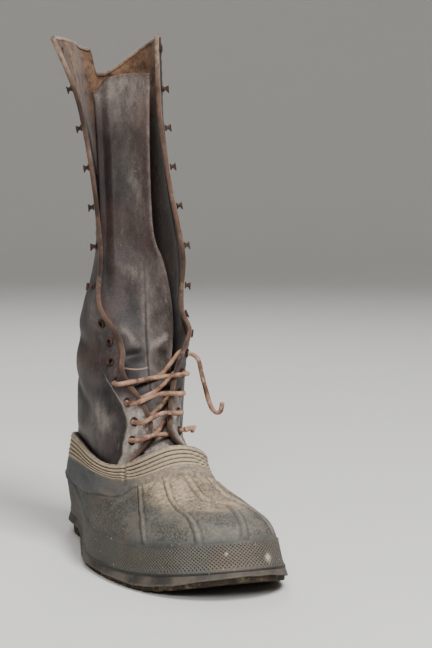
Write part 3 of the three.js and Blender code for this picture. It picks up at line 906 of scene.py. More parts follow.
@dataclass(frozen=True)
class RubberFinish:
    """Aged moulded rubber: dull, dusty, pebbled in patches, with a hatched foxing and stitched ridges."""

    name: str = "aged_rubber"
    dark: str = "1c1e1e"
    main: str = "34393a"
    blue: str = "3d4145"
    dust: str = "ab9980"
    cream: str = "ab9c86"
    # The colour of painted shade in grooves and hatch valleys and on the inner wall.
    recess_shade: str = "1f1b18"
    bare: str = "cdc2a8"
    rust: str = "6b5647"
    cool: str = "4d5354"
    hatch_pitch: float = 2.6
    hatch_slope: float = 0.86
    stitch_pitch: float = 3.4

    def material(self) -> Material:
        """Builds the material.

        Returns:
            The material.
        """
        s = Shader(self.name)
        around, up = s.flat()
        fine = s.noise(520, 6, 0.65)
        color = s.mix(s.noise(30, 7, 0.7).ramp(0.34, 0.66), self.dark, self.main)
        color = s.mix(s.mark("band") * 0.75, color, self.blue)
        color = s.mix(s.mark("cool") * 0.6, color, self.cool)
        powder = s.mark("dust") * (0.45 + 0.75 * s.noise(340, 8, 0.75).ramp(0.38, 0.62))
        color = s.mix(powder, color, self.dust)
        color = s.mix(s.noise(22, 4).ramp(0.52, 0.7) * 0.3, color, self.rust)
        foxing = s.mark("foxing")
        turn = 2 * math.pi / self.hatch_pitch
        rise = ((around * self.hatch_slope + up) * turn).wave()
        fall = ((around * self.hatch_slope - up) * turn).wave()
        hatch = rise.most(fall)
        # Painted shade in the hatch's valleys.
        color = s.mix(foxing * (1 - hatch.ramp(0.0, 0.8)) * 0.5, color, self.recess_shade)
        color = s.mix(foxing * hatch.ramp(0.6, 1.0) * 0.2, color, self.cream)
        ridge = s.mark("ridge")
        color = s.mix(ridge * 0.5, color, self.cream)
        # Painted shade in the grooves.
        color = s.mix(s.mark("recess_shade") * 0.92, color, self.recess_shade)
        stitch = ridge * (1 - ((around / self.stitch_pitch).part() - 0.5).size().ramp(0.28, 0.44))
        color = s.mix(stitch * 0.25, color, self.dust)
        speck = s.noise(330, 3, 0.6).ramp(0.69, 0.75)
        color = s.mix(speck * 0.7, color, self.bare)
        color = s.mix(s.mark("scuff") * fine.ramp(0.3, 0.5), color, self.bare)
        # Painted shade over the whole inner wall.
        color = s.mix(s.mark("inside"), color, self.recess_shade)
        pebble = s.cells(720) * s.mark("pebble")
        patch = s.noise(36, 3).ramp(0.4, 0.58) * s.mark("pebble")
        color = s.mix(pebble.ramp(0.3, 0.62) * patch * 0.55, color, self.dark)
        height = 0.5 * fine + 0.9 * (1 - pebble) * patch + 0.6 * foxing * hatch + 0.4 * stitch
        return s.surface(color, 0.62 + 0.3 * powder, height, 0.6, specular=0.4)


@dataclass(frozen=True)
class SoleFinish:
    """The sole's smooth dusty rand, and the rough brown edge and worn tread under it."""

    name: str = "worn_sole"
    dark: str = "1f1813"
    main: str = "3a2e23"
    dust: str = "6f5f48"
    rand: str = "322f2d"
    pale: str = "625a52"

    def material(self) -> Material:
        """Builds the material.

        Returns:
            The material.
        """
        s = Shader(self.name)
        fine = s.noise(300, 7, 0.7)
        color = s.mix(s.noise(48, 5).ramp(0.36, 0.64), self.dark, self.main)
        color = s.mix(s.noise(140, 6, 0.7).ramp(0.5, 0.68) * 0.8, color, self.dust)
        rand = s.mark("rand")
        wall = s.mix(s.noise(40, 5).ramp(0.36, 0.66) * 0.7, self.rand, self.pale)
        wall = s.mix(s.noise(180, 6, 0.7).ramp(0.5, 0.7) * 0.6, wall, self.main)
        wall = s.mix(s.mark("lip") * (0.2 + 0.5 * fine.ramp(0.4, 0.6)), wall, self.pale)
        color = s.mix(rand, color, wall)
        height = (fine + 0.5 * s.cells(260)) * (1 - 0.7 * rand)
        return s.surface(color, 0.9 - 0.15 * rand, height, 0.8, specular=0.3)


@dataclass(frozen=True)
class RustFinish:
    """Blackened iron with brown and orange rust."""

    name: str = "rusty_iron"
    dark: str = "1d1613"
    main: str = "3c261d"
    orange: str = "68402a"

    def material(self) -> Material:
        """Builds the material.

        Returns:
            The material.
        """
        s = Shader(self.name)
        pits = s.noise(900, 6, 0.7)
        rust = s.noise(330, 5, 0.65).ramp(0.4, 0.6)
        color = s.mix(rust, self.dark, self.main)
        color = s.mix(s.noise(620, 5, 0.7).ramp(0.5, 0.66) * 0.8, color, self.orange)
        return s.surface(color, 0.55 + 0.35 * rust, pits, 0.25, metallic=0.7 - 0.6 * rust)


@dataclass(frozen=True)
class RawhideFinish:
    """Dry rawhide lace: tan and orange-brown, cracked, darker where it was handled."""

    name: str = "rawhide_cord"
    dark: str = "5b4134"
    main: str = "9d7963"
    pale: str = "bb9c86"

    def material(self) -> Material:
        """Builds the material.

        Returns:
            The material.
        """
        s = Shader(self.name)
        fibres = s.noise(700, 6, 0.7)
        color = s.mix(s.noise(85, 5).ramp(0.34, 0.6), self.dark, self.main)
        color = s.mix(s.noise(210, 5, 0.65).ramp(0.5, 0.7) * 0.8, color, self.pale)
        color = s.mix(fibres.ramp(0.46, 0.34) * 0.5, color, self.dark)
        return s.surface(color, 0.8, fibres + 0.5 * s.noise(320, 4), 0.35, specular=0.3)


@dataclass(frozen=True)
class PaleFinish:
    """The plain pale studio floor."""

    name: str = "pale_floor"
    color: str = "d9d8d4"
    blotch: str = "cfcfcb"

    def material(self) -> Material:
        """Builds the material.

        Returns:
            The material.
        """
        s = Shader(self.name)
        shade = s.noise(3, 2)
        color = s.mix(shade * 0.1, self.color, self.blotch)
        return s.surface(color, 0.9, shade, 0.05, specular=0.1)


@dataclass
class Lattice:
    """Points in millimetres that a grid of quads is laid over, with values and flat coordinates."""

    points: Array
    marks: dict[str, Array] = field(default_factory=dict)
    flat: Array | None = None

    def bmesh(self) -> Mesh:
        """Lays a grid over the points and closes what meets.

        Returns:
            The mesh in metres.
        """
        wide, high = self.points.shape[0] - 1, self.points.shape[1] - 1
        made = bmesh.new()
        bmesh.ops.create_grid(made, x_segments=wide, y_segments=high, size=1)
        layers = {name: made.verts.layers.float.new(name) for name in self.marks}
        cells = [(round((v.co.x + 1) / 2 * wide), round((v.co.y + 1) / 2 * high)) for v in made.verts]
        made.verts.index_update()
        if self.flat is not None:
            layer = made.loops.layers.uv.new("flat")
            for face in made.faces:
                for loop in face.loops:
                    loop[layer].uv = self.flat[cells[loop.vert.index]]
        for vert, cell in zip(made.verts, cells):
            vert.co = self.points[cell] * MM
            for name, values in self.marks.items():
                vert[layers[name]] = float(values[cell])
        bmesh.ops.remove_doubles(made, verts=made.verts[:], dist=2 * MERGE)
        bmesh.ops.dissolve_degenerate(made, dist=MERGE, edges=made.edges[:])
        return made


def outward(made: Mesh) -> Mesh:
    """Turns the faces of a closed mesh outwards and gives it back."""
    bmesh.ops.recalc_face_normals(made, faces=made.faces[:])
    return made


def capped(made: Mesh) -> Mesh:
    """Closes the open ends of a tube, turns its faces outwards and gives it back."""
    bmesh.ops.holes_fill(made, edges=made.edges[:], sides=0)
    return outward(made)


def spun(made: Mesh, profile: list[Pair], steps: int, closed: bool = False) -> list[bmesh.types.BMVert]:
    """Spins a profile into a ring about the Z axis.

    Args:
        made: The mesh that takes the ring.
        profile: Radii and heights in metres.
        steps: How many steps go round.
        closed: Whether the profile's ends meet.

    Returns:
        The ring's points.
    """
    before = set(made.verts)
    line = [made.verts.new((radius, 0, height)) for radius, height in profile]
    pairs = list(zip(line, line[1:])) + ([(line[-1], line[0])] if closed else [])
    edges = [made.edges.new(pair) for pair in pairs]
    bmesh.ops.spin(made, geom=line + edges, cent=(0, 0, 0), axis=(0, 0, 1), angle=2 * math.pi,
                   steps=steps, use_merge=True)
    new = [v for v in made.verts if v not in before]
    bmesh.ops.remove_doubles(made, verts=new, dist=MERGE)
    return [v for v in made.verts if v not in before]


def shown(made: Mesh, name: str, *finishes: Material) -> Piece:
    """Makes an object of a mesh.

    Args:
        made: The mesh, which is used up.
        name: The object's name.
        finishes: Its materials, in the order of its slots.

    Returns:
        The object, at the origin.
    """
    mesh = bpy.data.meshes.new(name)
    made.to_mesh(mesh)
    made.free()
    mesh.shade_smooth()
    for finish in finishes:
        mesh.materials.append(finish)
    piece = bpy.data.objects.new(name, mesh)
    bpy.context.scene.collection.objects.link(piece)
    return piece


def settle(piece: Piece, slot: Slot, *nodes: str) -> Piece:
    """Lets a piece ride on the boot.

    Args:
        piece: The piece.
        slot: The material slot meant for it; not used.
        nodes: The frame's nodes that it stands for.

    Returns:
        The piece.
    """
    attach(piece, BODY)
    if nodes:
        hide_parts(*nodes)
    LOG.info("%s: %d faces", piece.name, len(piece.data.polygons))
    return piece


def thicken(piece: Piece, wall: float, inner: int = 0, rim: int = 0) -> None:
    """Gives a sheet its wall, inwards from its face.

    Args:
        piece: The sheet.
        wall: Its thickness in millimetres.
        inner: How many slots on its inner face's finish is.
        rim: How many slots on its cut edges' finish is.
    """
    solid = piece.modifiers.new("wall", "SOLIDIFY")
    solid.thickness = wall * MM
    solid.offset = -1
    solid.use_rim = True
    solid.material_offset = inner
    solid.material_offset_rim = rim


def face_along(piece: Piece, axis: Triple) -> None:
    """Turns a sheet's faces so that its middle one looks along an axis."""
    if piece.data.polygons[len(piece.data.polygons) // 2].normal.dot(axis) < 0:
        piece.data.flip_normals()


@dataclass(frozen=True)
class Crease:
    """One soft trough or ridge between two places on a sheet."""

    start: Pair
    end: Pair
    half_width: float
    depth: float
    end_share: float = 0.35

    def drop(self, flat: Array) -> Array:
        """How far the crease moves the sheet, with its ends run out.

        Args:
            flat: Flat places on the sheet.

        Returns:
            The distance out of the sheet at each place.
        """
        a, b = np.array(self.start), np.array(self.end)
        share = ((flat - a) @ (b - a)) / ((b - a) @ (b - a))
        held = np.clip(share, 0, 1)
        away = np.linalg.norm(flat - (a + held[..., None] * (b - a)), axis=-1)
        fade = self.end_share + (1 - self.end_share) * np.sin(math.pi * held)
        return self.depth * fade * bell(away, self.half_width)


@dataclass(frozen=True)
class Rib:
    """One moulded rib: its turns at heights up the vamp."""

    heights: tuple[float, ...]
    turns: tuple[float, ...]

    def at(self, heights: Array) -> Array:
        """The rib's turn at each height."""
        return np.interp(heights, self.heights, self.turns)


@dataclass
class RubberBottom:
    """The moulded rubber bottom: hatched foxing, ribs, collar band and stitched ridges."""

    foot: FootForm
    wall: float = 3
    gap: float = 0.35
    columns: int = 620
    foxing_step: float = 0.8
    rib_half: float = 2.1
    rib_step: float = 1.6
    band_step: float = 0.9
    ridges: int = 5
    ridge_pitch: float = 3.9
    ridge_depth: float = 1.5
    ribs: tuple[Rib, ...] = (
        Rib((20, 36, 51, 83, 109, 135), (0.365, 0.3565, 0.3516, 0.3629, 0.3774, 0.387)),
        Rib((20, 33, 45, 61, 84, 103, 118, 145),
            (0.438, 0.4355, 0.4306, 0.4242, 0.4258, 0.4339, 0.4419, 0.449)),
        Rib((20, 38, 53, 74, 82, 87, 97, 121, 150),
            (0.502, 0.5097, 0.5194, 0.5323, 0.5129, 0.502, 0.4984, 0.4952, 0.49)),
        Rib((20, 50, 70, 85, 100, 120), (0.57, 0.572, 0.574, 0.569, 0.563, 0.556)),
        Rib((20, 36, 51, 83, 109, 135), (0.635, 0.6435, 0.6484, 0.6371, 0.6226, 0.613)),
    )
    band: tuple[Pair, ...] = (
        (0, 31), (0.1, 40), (0.21, 50), (0.29, 54), (0.32, 50), (0.348, 36), (0.38, 28), (0.43, 28),
        (0.488, 30), (0.527, 34), (0.56, 30), (0.62, 28), (0.66, 36), (0.7, 50), (0.79, 50), (0.9, 40), (1, 31),
    )
    creases: tuple[Crease, ...] = (
        Crease((277, 130), (264, 104), 2.8, -1.9),
        Crease((284, 128), (272, 106), 3.0, 0.8),
        Crease((286, 78), (318, 66), 9, -1.6),
        Crease((300, 90), (328, 84), 7, 1.2),
        Crease((338, 74), (364, 62), 9, -1.8),
        Crease((196, 62), (238, 70), 9, -1.3),
        Crease((120, 48), (160, 60), 8, -1.2),
        Crease((384, 150), (397, 128), 2.6, -1.3),
        Crease((395, 146), (407, 126), 2.4, -1.1),
        Crease((407, 140), (418, 118), 3.0, -1.2),
    )
    scuffs: tuple[Triple, ...] = ((385, 7, 2.4), (352, 12, 0.9))
    hem_inset: float = 1.7
    hem_drop: float = 1.2
    hem_reach: float = 6
    hem_fold: float = 0.3
    low_rows: int = 26
    middle_rows: int = 44
    collar_rows: int = 56
    inner_rows: int = 12
    collar_zone: float = 26
    ruled_row: int = 12
    turn_probe: float = 0.002
    inside_up: float = -40
    vamp_from: float = 40
    vamp_span: float = 46
    rim_gap: float = 1.2

    def hem(self, outer: Array, turns: Array, heights: Array) -> Array:
        """Draws the foxing's foot out over the top of the sole's rand.

        Args:
            outer: The outer rows, which are moved.
            turns: The columns' turns.
            heights: The outer rows' heights.

        Returns:
            The row behind the hem, just above the sole.
        """
        _, station, offset = self.foot.plan(self.foot.sole.inset(self.hem_inset), turns)
        foot = self.foot.place(station, offset, self.foot.sole_top(station) - self.hem_drop)
        share = smooth(1 - heights / self.hem_reach)[..., None] ** 2
        outer += share * (foot - outer[:, 0])[:, None]
        _, station, offset = self.foot.plan(self.foot.sole.inset(self.hem_inset + self.hem_fold), turns)
        return self.foot.place(station, offset, self.foot.sole_top(station) + self.gap)

    def rows(self, rise: Array, foxing: Array) -> Array:
        """Heights of the outer rows, close together where the relief is.

        Args:
            rise: The columns' whole heights.
            foxing: The columns' foxing heights.

        Returns:
            Heights, shaped (columns, rows).
        """
        low = (foxing[:, None] + 2) * np.linspace(0, 1, self.low_rows)
        high = np.linspace(-self.collar_zone, 0, self.collar_rows)
        top, bottom = rise[:, None] + high[0], low[:, -1:]
        middle = bottom + (top - bottom) * np.linspace(0, 1, self.middle_rows)[1:-1]
        return np.concatenate([low, middle, rise[:, None] + high], 1)

    def relief(self, turns: Array, heights: Array, rise: Array, foxing: Array,
               scale: Array) -> tuple[Array, dict[str, Array]]:
        """How far the rubber stands out of its bare form, and the values that its finish reads.

        Args:
            turns: The columns' turns.
            heights: Heights up the meridians, shaped (columns, rows).
            rise: The columns' whole heights.
            foxing: The columns' foxing heights.
            scale: Millimetres of surface in a whole turn, at each point.

        Returns:
            The step outwards, and the values by name.
        """
        below = rise[:, None] - heights
        top = foxing[:, None]
        step = self.foxing_step * (1 - smooth((heights - top + 0.7) / 1.2))
        bead = 0.35 * bell(heights - top + 0.8, 0.9)
        depth = np.interp(turns % 1, *np.array(self.band).T)[:, None]
        zone = smooth((heights - top) / 4) * smooth((below - depth) / 5)
        welt = np.zeros_like(heights)
        shade = np.zeros_like(heights)
        for rib in self.ribs:
            away = np.abs(turns[:, None] - rib.at(heights)) * scale
            welt = np.maximum(welt, np.exp(-((away / self.rib_half) ** 3)))
            shade = np.maximum(shade, bell(away - 1.5 * self.rib_half, 0.9))
        band = smooth((depth - below + 0.6) / 1.2)
        count = (below - self.rim_gap) / self.ridge_pitch
        stitched = smooth((self.ridges - count) / 0.12) * smooth(count / 0.12)
        crest = np.abs(np.sin(math.pi * count))
        lip = np.clip(1 - below / self.rim_gap, 0, 1) ** 2
        out = step + bead + zone * (self.rib_step * welt - 0.5 * shade) + self.band_step * band
        out = out + stitched * (self.ridge_depth * crest ** 0.7 - 0.9) - 0.8 * lip
        edge = bell(depth - below + 1.0, 0.9)
        beside = np.maximum(0.55 * shade * zone, 0.65 * edge)
        marks = {
            "ridge": stitched * smooth((crest - 0.35) / 0.4),
            # Painted shade in the grooves between the stitched ridges, beside the ribs and under the band's
            # lower edge.
            "recess_shade": np.maximum(stitched * smooth((0.56 - crest) / 0.34), beside),
            "band": band * (1 - smooth((22 - below) / 2)),
            "foxing": smooth((top - 1.4 - heights) / 0.8) * smooth((heights - 1.2) / 1.6),
            "pebble": zone * (1 - welt),
        }
        return out, marks

    def dust(self, points: Array, turns: Array, heights: Array, below: Array) -> Array:
        """How much pale dust lies on the rubber: most on the vamp and round the front of the collar.

        Args:
            points: Points of the outer face.
            turns: The columns' turns.
            heights: Heights up the meridians.
            below: Distances below the collar's rim.

        Returns:
            Shares of dust.
        """
        front = 1 - smooth((np.abs(turns - 0.51) - 0.07) / 0.1)[:, None]
        vamp = front * smooth((heights - self.vamp_from) / self.vamp_span)
        ridges = smooth((23 - below) / 3)
        lumps = 0.5 + 0.5 * wobble(points, cell=30, seed=3.1)
        side = smooth((0.3 - np.abs(turns - 0.5)) / 0.06)[:, None] * smooth((heights - 22) / 6)
        shared = 0.02 + vamp * (0.55 + 0.5 * lumps) + 0.07 * front + 0.14 * side + 0.12 * lumps ** 2
        return np.clip(np.maximum(shared, ridges * (0.9 - 0.15 * front)), 0, 1)

    def build(self, finish: Material) -> Piece:
        """Builds and dresses the rubber bottom.

        Args:
            finish: Its material.

        Returns:
            The piece.
        """
        turns = np.arange(self.columns + 1) / self.columns
        rise, foxing = self.foot.rise(turns), self.foot.foxing_top(turns)
        heights = self.rows(rise, foxing)
        bare = self.foot.at(turns, heights)
        across = self.foot.at(turns + self.turn_probe, heights) - self.foot.at(turns - self.turn_probe, heights)
        scale = np.linalg.norm(across, axis=2) / (2 * self.turn_probe)
        out, marks = self.relief(turns, heights, rise, foxing, scale)
        around = run_along(bare[:, self.ruled_row])
        flat = np.stack([np.broadcast_to(around[:, None], heights.shape), heights], -1)
        drop = sum(crease.drop(flat) for crease in self.creases)
        out = out + drop + 0.55 * wobble(bare, cell=34, seed=1.7) + 0.18 * wobble(bare, cell=9, seed=5.2)
        outer = self.foot.lift(turns, heights, out)
        inner = rise[:, None] * np.linspace(1, 0, self.inner_rows)
        inner = self.foot.lift(turns, inner, np.array(-self.wall))
        for ring in (outer[:, 0], inner[:, -1]):
            ring[:, 2] = self.foot.sole_top(self.foot.length / 2 - ring[:, 1]) + self.gap
        inner = np.concatenate([inner, self.hem(outer, turns, heights)[:, None]], 1)
        dust = self.dust(outer, turns, heights, rise[:, None] - heights)
        marks["dust"] = dust * (1 - 0.4 * marks["band"])
        marks["cool"] = self.cool(turns, heights, foxing)
        marks["scuff"] = self.scuff(flat)
        # The inner wall takes painted shade all over.
        marks["inside"] = np.zeros_like(heights)
        points = np.concatenate([outer, inner, outer[:, :1]], 1)
        points[-1] = points[0]
        extra = inner.shape[1]
        for name, values in marks.items():
            tail = np.full((len(turns), extra), 1.0 if name == "inside" else 0.0)
            marks[name] = np.concatenate([values, tail, values[:, :1]], 1)
        up = np.concatenate([heights, np.full((len(turns), extra), self.inside_up), heights[:, :1]], 1)
        flat = np.stack([np.broadcast_to(around[:, None], up.shape), up], -1)
        made = outward(Lattice(points, marks, flat).bmesh())
        return settle(shown(made, "rubber_shoe", finish), Slot.RUBBER, "rubber_bottom")

    def cool(self, turns: Array, heights: Array, foxing: Array) -> Array:
        """How grey the rubber is: most low on the vamp and less on the foxing.

        Args:
            turns: The columns' turns.
            heights: Heights up the meridians.
            foxing: The columns' foxing heights.

        Returns:
            Shares of grey.
        """
        low = 1 - smooth((heights - self.vamp_from) / self.vamp_span)
        clear = 0.3 + 0.7 * smooth((heights - foxing[:, None]) / 3)
        return (1 - smooth((np.abs(turns - 0.5) - 0.12) / 0.1))[:, None] * (low * clear)

    def scuff(self, flat: Array) -> Array:
        """Bare scuffs on the toe.

        Args:
            flat: Flat places on the rubber.

        Returns:
            How scuffed each place is.
        """
        total = 0
        for around, up, size in self.scuffs:
            away = np.hypot(flat[..., 0] - around, flat[..., 1] - up)
            total = total + bell(away, size)
        return np.clip(total, 0, 1)


@dataclass
class Outsole:
    """The outsole, with a smooth rand over a rough edge and a grooved tread."""

    foot: FootForm
    stations: int = 340
    side_rows: tuple[tuple[float, float, float, float], ...] = (
        (3.0, 2.0, 0, 0), (2.5, 1.8, 0, 0.7), (2.3, 1.5, 0.5, 0), (2.2, 1.0, 1, -0.9), (0.9, 0.3, 1, -0.8),
        (0.3, 0, 1, -0.5), (0, 0, 1, 0), (0.05, 0, 1, 0.5), (0.4, 0, 1.16, 0), (0.8, 0, 1.33, 0),
        (1.2, 0, 1.5, 0), (1.6, 0, 1.66, 0), (2.0, 0, 1.83, 0), (2.2, 0, 1.95, 0), (2.4, 0, 2, 0),
    )
    ragged: tuple[float, ...] = (0, 0.3, 0.4, 0.4, 0.4, 0.5, 0.5, 0.4, 0.3, 0.2, 0.2, 0.1, 0.1, 0, 0)
    ragged_height: float = 1.3
    lip_row: int = 6
    rand_foot: float = -0.7
    upper: int = 6
    under: int = 44
    tread_pitch: float = 12
    tread_groove: float = 3
    tread_depth: float = 2.5
    runs: tuple[Pair, ...] = ((14, 74), (160, 300))

    def tread(self, station: Array, share: Array) -> Array:
        """How deep the tread is cut.

        Args:
            station: Stations along the foot.
            share: Shares across the sole.

        Returns:
            The depth at each place.
        """
        depth = np.zeros(np.broadcast(station, share).shape)
        for first, last in self.runs:
            phase = (station - first + 1.4 * np.sin(share * 9)) % self.tread_pitch
            cut = smooth((phase + 0.5) / 0.8) * smooth((self.tread_groove + 0.5 - phase) / 0.8)
            depth = depth + cut * (station > first - 1) * (station < last + 1)
        return self.tread_depth * np.clip(depth, 0, 1)

    def side(self, turn: Array, station: Array) -> Array:
        """The sole's side rows, ragged along the edge and the lip.

        Args:
            turn: Turns round the foot.
            station: The stations of those turns.

        Returns:
            Points, shaped (turns, rows, 3).
        """
        low, lip = self.foot.sole_bottom(station), self.foot.sole_lip(station)
        rows = []
        for inset, heel, up, rise in self.side_rows:
            _, at, offset = self.foot.plan(self.foot.sole.inset(inset, heel), turn)
            z = low + (lip - low) * up if up < 1 else lip + (self.foot.sole_top(at) - lip) * (up - 1)
            rows.append(self.foot.place(at, offset, z + rise))
        points = np.stack(rows, 1)
        ragged = np.array(self.ragged)
        lip_line = points[:, self.lip_row:self.lip_row + 1]
        points[..., 2] += self.ragged_height * ragged * wobble(lip_line, cell=14, seed=4.6)
        middle = points.mean(1, keepdims=True) * np.array([0, 1, 1])
        away = unit((points - middle) * np.array([1, 0, 0]))
        return points - away * (ragged * np.abs(wobble(points, cell=5, seed=8.3)))[..., None]

    def build(self, finish: Material) -> Piece:
        """Builds and dresses the outsole as sections along the foot.

        Args:
            finish: Its material.

        Returns:
            The piece.
        """
        turn = np.linspace(0, 0.5, self.stations)
        station = (1 - np.cos(2 * math.pi * turn)) / 2 * self.foot.length
        lateral, medial = self.side(turn, station), self.side(-turn, station)
        share = np.linspace(0, 1, self.under)[None, :, None]
        under = lateral[:, :1] * (1 - share) + medial[:, :1] * share
        under[..., 2] += self.tread(station[:, None], share[None, 0, :, 0])
        cap = np.linspace(0, 1, self.upper + 2)[None, 1:-1, None]
        upper = medial[:, -1:] * (1 - cap) + lateral[:, -1:] * cap
        points = np.concatenate([under, medial[:, 1:], upper, lateral[:, :0:-1], under[:, :1]], 1)
        rand = np.array([float(up >= 1 and rise > self.rand_foot) for _, _, up, rise in self.side_rows])
        lip = np.array([float(up == 1 and rise > self.rand_foot) for _, _, up, rise in self.side_rows])
        marks = {}
        for name, row, above in (("rand", rand, 1.0), ("lip", lip, 0.0)):
            ends = np.zeros(self.under), np.full(self.upper, above), np.zeros(1)
            line = np.concatenate([ends[0], row[1:], ends[1], row[:0:-1], ends[2]])
            marks[name] = np.broadcast_to(line, points.shape[:2])
        made = outward(Lattice(points, marks).bmesh())
        return settle(shown(made, "outsole_tread", finish), Slot.SOLE, "outsole")


@dataclass
class Insole:
    """The felt insole on the sole, pressed down where the foot stood."""

    foot: FootForm
    inset: float = 6.6
    thickness: float = 2.7
    top: float = 4
    press: float = 0.7
    end_turn: float = 0.004
    stations: int = 150
    columns: int = 40

    def build(self, finish: Material) -> Piece:
        """Builds and dresses the insole.

        Args:
            finish: Its material.

        Returns:
            The piece.
        """
        turn = np.linspace(self.end_turn, 0.5 - self.end_turn, self.stations)
        ring = self.foot.rings[0].inset(self.inset)
        _, station, lateral = self.foot.plan(ring, turn)
        _, _, medial = self.foot.plan(ring, -turn)
        share = np.linspace(0, 1, self.columns)
        offset = lateral[:, None] * (1 - share) + medial[:, None] * share
        points = self.foot.place(station[:, None], offset, (self.foot.sole_top(station) + self.top)[:, None])
        middle = np.sin(math.pi * share)[None, :]
        points[..., 2] -= self.press * middle + 0.25 * wobble(points, cell=14, seed=2.2) * middle
        piece = shown(Lattice(points).bmesh(), "insole_felt", finish)
        face_along(piece, (0, 0, 1))
        thicken(piece, self.thickness)
        return settle(piece, Slot.FELT, "insole")


@dataclass
class LeatherShaft:
    """The slack leather shaft: eyestays, cuff, creases, punched eyelet holes and raw edges."""

    form: ShaftForm
    rows: FittingRows
    columns: int = 250
    levels: int = 190
    cuff: float = 10
    cuff_step: float = 0.8
    stay: float = 20
    hole: float = 2.9
    hole_reach: float = 4
    tuck_levels: int = 13
    tuck_in: float = 2.1
    pucker_pitch: float = 8.4
    pale_top: float = 138
    seam_top: float = 152
    tip_from: float = 335
    # Where a painted highlight sits on the quarter's bulge, by run and height.
    highlight_at: Pair = (52, 112)
    creases: tuple[Crease, ...] = (
        Crease((20, 128), (58, 112), 5.5, -1.8),
        Crease((22, 140), (52, 134), 4.5, -1.3),
        Crease((24, 118), (46, 100), 4.5, -1.2),
        Crease((70, 120), (118, 150), 8, -2.2),
        Crease((40, 168), (100, 178), 9, -2.0),
        Crease((62, 96), (110, 104), 7, 1.6),
        Crease((44, 116), (62, 110), 9, 1.4),
        Crease((36, 205), (88, 230), 10, -1.8),
        Crease((120, 132), (185, 128), 8, -2.4),
        Crease((128, 158), (190, 164), 9, -2.0),
        Crease((140, 112), (180, 110), 7, 1.5),
        Crease((130, 260), (150, 360), 14, -2.2),
        Crease((90, 280), (80, 370), 13, 1.8),
        Crease((215, 170), (262, 196), 10, -2.4),
        Crease((205, 128), (262, 118), 7, -2.0),
        Crease((220, 246), (250, 300), 12, -1.8),
    )

    def sheet(self) -> Lattice:
        """The outer face with its steps and creases.

        Returns:
            The points, with the values that its finish reads.
        """
        form = self.form
        across = np.linspace(0, 1, self.columns)
        hidden = np.linspace(0, form.collar, self.tuck_levels + 1)[:-1]
        bare = np.linspace(form.collar, form.top, self.levels - self.tuck_levels)
        level = np.tile(np.concatenate([hidden, bare]), (len(across), 1))
        point, normal, _ = form.frame(across, level)
        steps = np.linalg.norm(np.diff(point, axis=0), axis=2)
        run = np.concatenate([np.zeros((1, steps.shape[1])), np.cumsum(steps, 0)])
        edge = np.minimum(run, run[-1:] - run)
        z = point[..., 2]
        free = smooth(level - form.collar)
        stay = form.stay_step * (1 - smooth((edge - self.stay) / 1.6)) * free
        rim = np.linalg.norm(point - point[:, -1:], axis=2)
        cuff = self.cuff_step * (1 - smooth((rim - self.cuff) / 1.5))
        flat = np.stack([run, z], -1)
        drop = sum(crease.drop(flat) for crease in self.creases) * free
        slack = (0.9 * wobble(point, cell=55, seed=4.4) + 0.3 * wobble(point, cell=17, seed=6.1)) * free
        slack = slack * smooth(edge / 25)
        gather = bell(edge - self.stay, 5)
        pucker = 0.25 * np.sin(2 * math.pi * z / self.pucker_pitch) * gather * free
        tucked = np.sin(math.pi * np.clip(level - form.collar + 1, 0, 1))
        out = np.maximum(stay, cuff) + drop + slack + pucker - self.tuck_in * tucked
        inset = edge - 2.5 * bell(z - 100, 9) + 6 * smooth((94 - z) / 10)
        pale = smooth((self.pale_top - z) / 18) * (1 - smooth((inset - self.stay + 1) / 3))
        lumps = 0.5 + 0.5 * wobble(point, cell=30, seed=9.4)
        # A painted highlight on the quarter's bulge.
        painted_highlight = bell(run - self.highlight_at[0], 15) * bell(z - self.highlight_at[1], 13)
        marks = {
            # Dust on the eyestays and in flecks, plus painted highlights on the quarter's bulge and on the
            # crease ridges.
            "dust": np.clip(0.03 + pale + 0.42 * painted_highlight + 0.22 * lumps ** 2
                            + 0.1 * np.maximum(0, drop), 0, 1),
            "sewn": smooth((self.seam_top - z) / 14),
            "wear": np.clip(bell(edge, 4) + bell(rim, 5), 0, 1),
            # Painted shade in the crease troughs.
            "hollow_shade": np.clip(-drop / 3, 0, 0.8),
            "tip": smooth((z - self.tip_from) / 70) * (0.35 + 0.65 * smooth((edge - 14) / 8)),
        }
        return Lattice(point + normal * out[..., None], marks, np.stack([inset, z], -1))

    def punch(self, made: Mesh) -> None:
        """Cuts the eyelets' holes, whose rough edges the eyelets cover.

        Args:
            made: The sheet.
        """
        frames = [self.form.fitting(self.rows.across(side), z, 0).inverted()
                  for side in Side for z in self.rows.eyelet_heights(side)]

        def punched(centre: Vector) -> bool:
            """Whether a face's centre lies in a hole."""
            near = (inverse @ centre / MM for inverse in frames)
            return any(abs(p.z) < self.hole_reach and math.hypot(p.x, p.y) < self.hole for p in near)

        gone = [face for face in made.faces if punched(face.calc_center_median())]
        bmesh.ops.delete(made, geom=gone, context="FACES")

    def build(self, finish: Material, lining: Material, cut: Material) -> Piece:
        """Builds and dresses the shaft.

        Args:
            finish: The material of its outer face.
            lining: The material of its inner face.
            cut: The material of its cut edges.

        Returns:
            The piece.
        """
        made = self.sheet().bmesh()
        self.punch(made)
        piece = shown(made, "shaft_sheet", finish, lining, cut)
        face_along(piece, (0, 1, 0))
        thicken(piece, self.form.wall, inner=1, rim=2)
        return settle(piece, Slot.LEATHER, "leather_shaft")


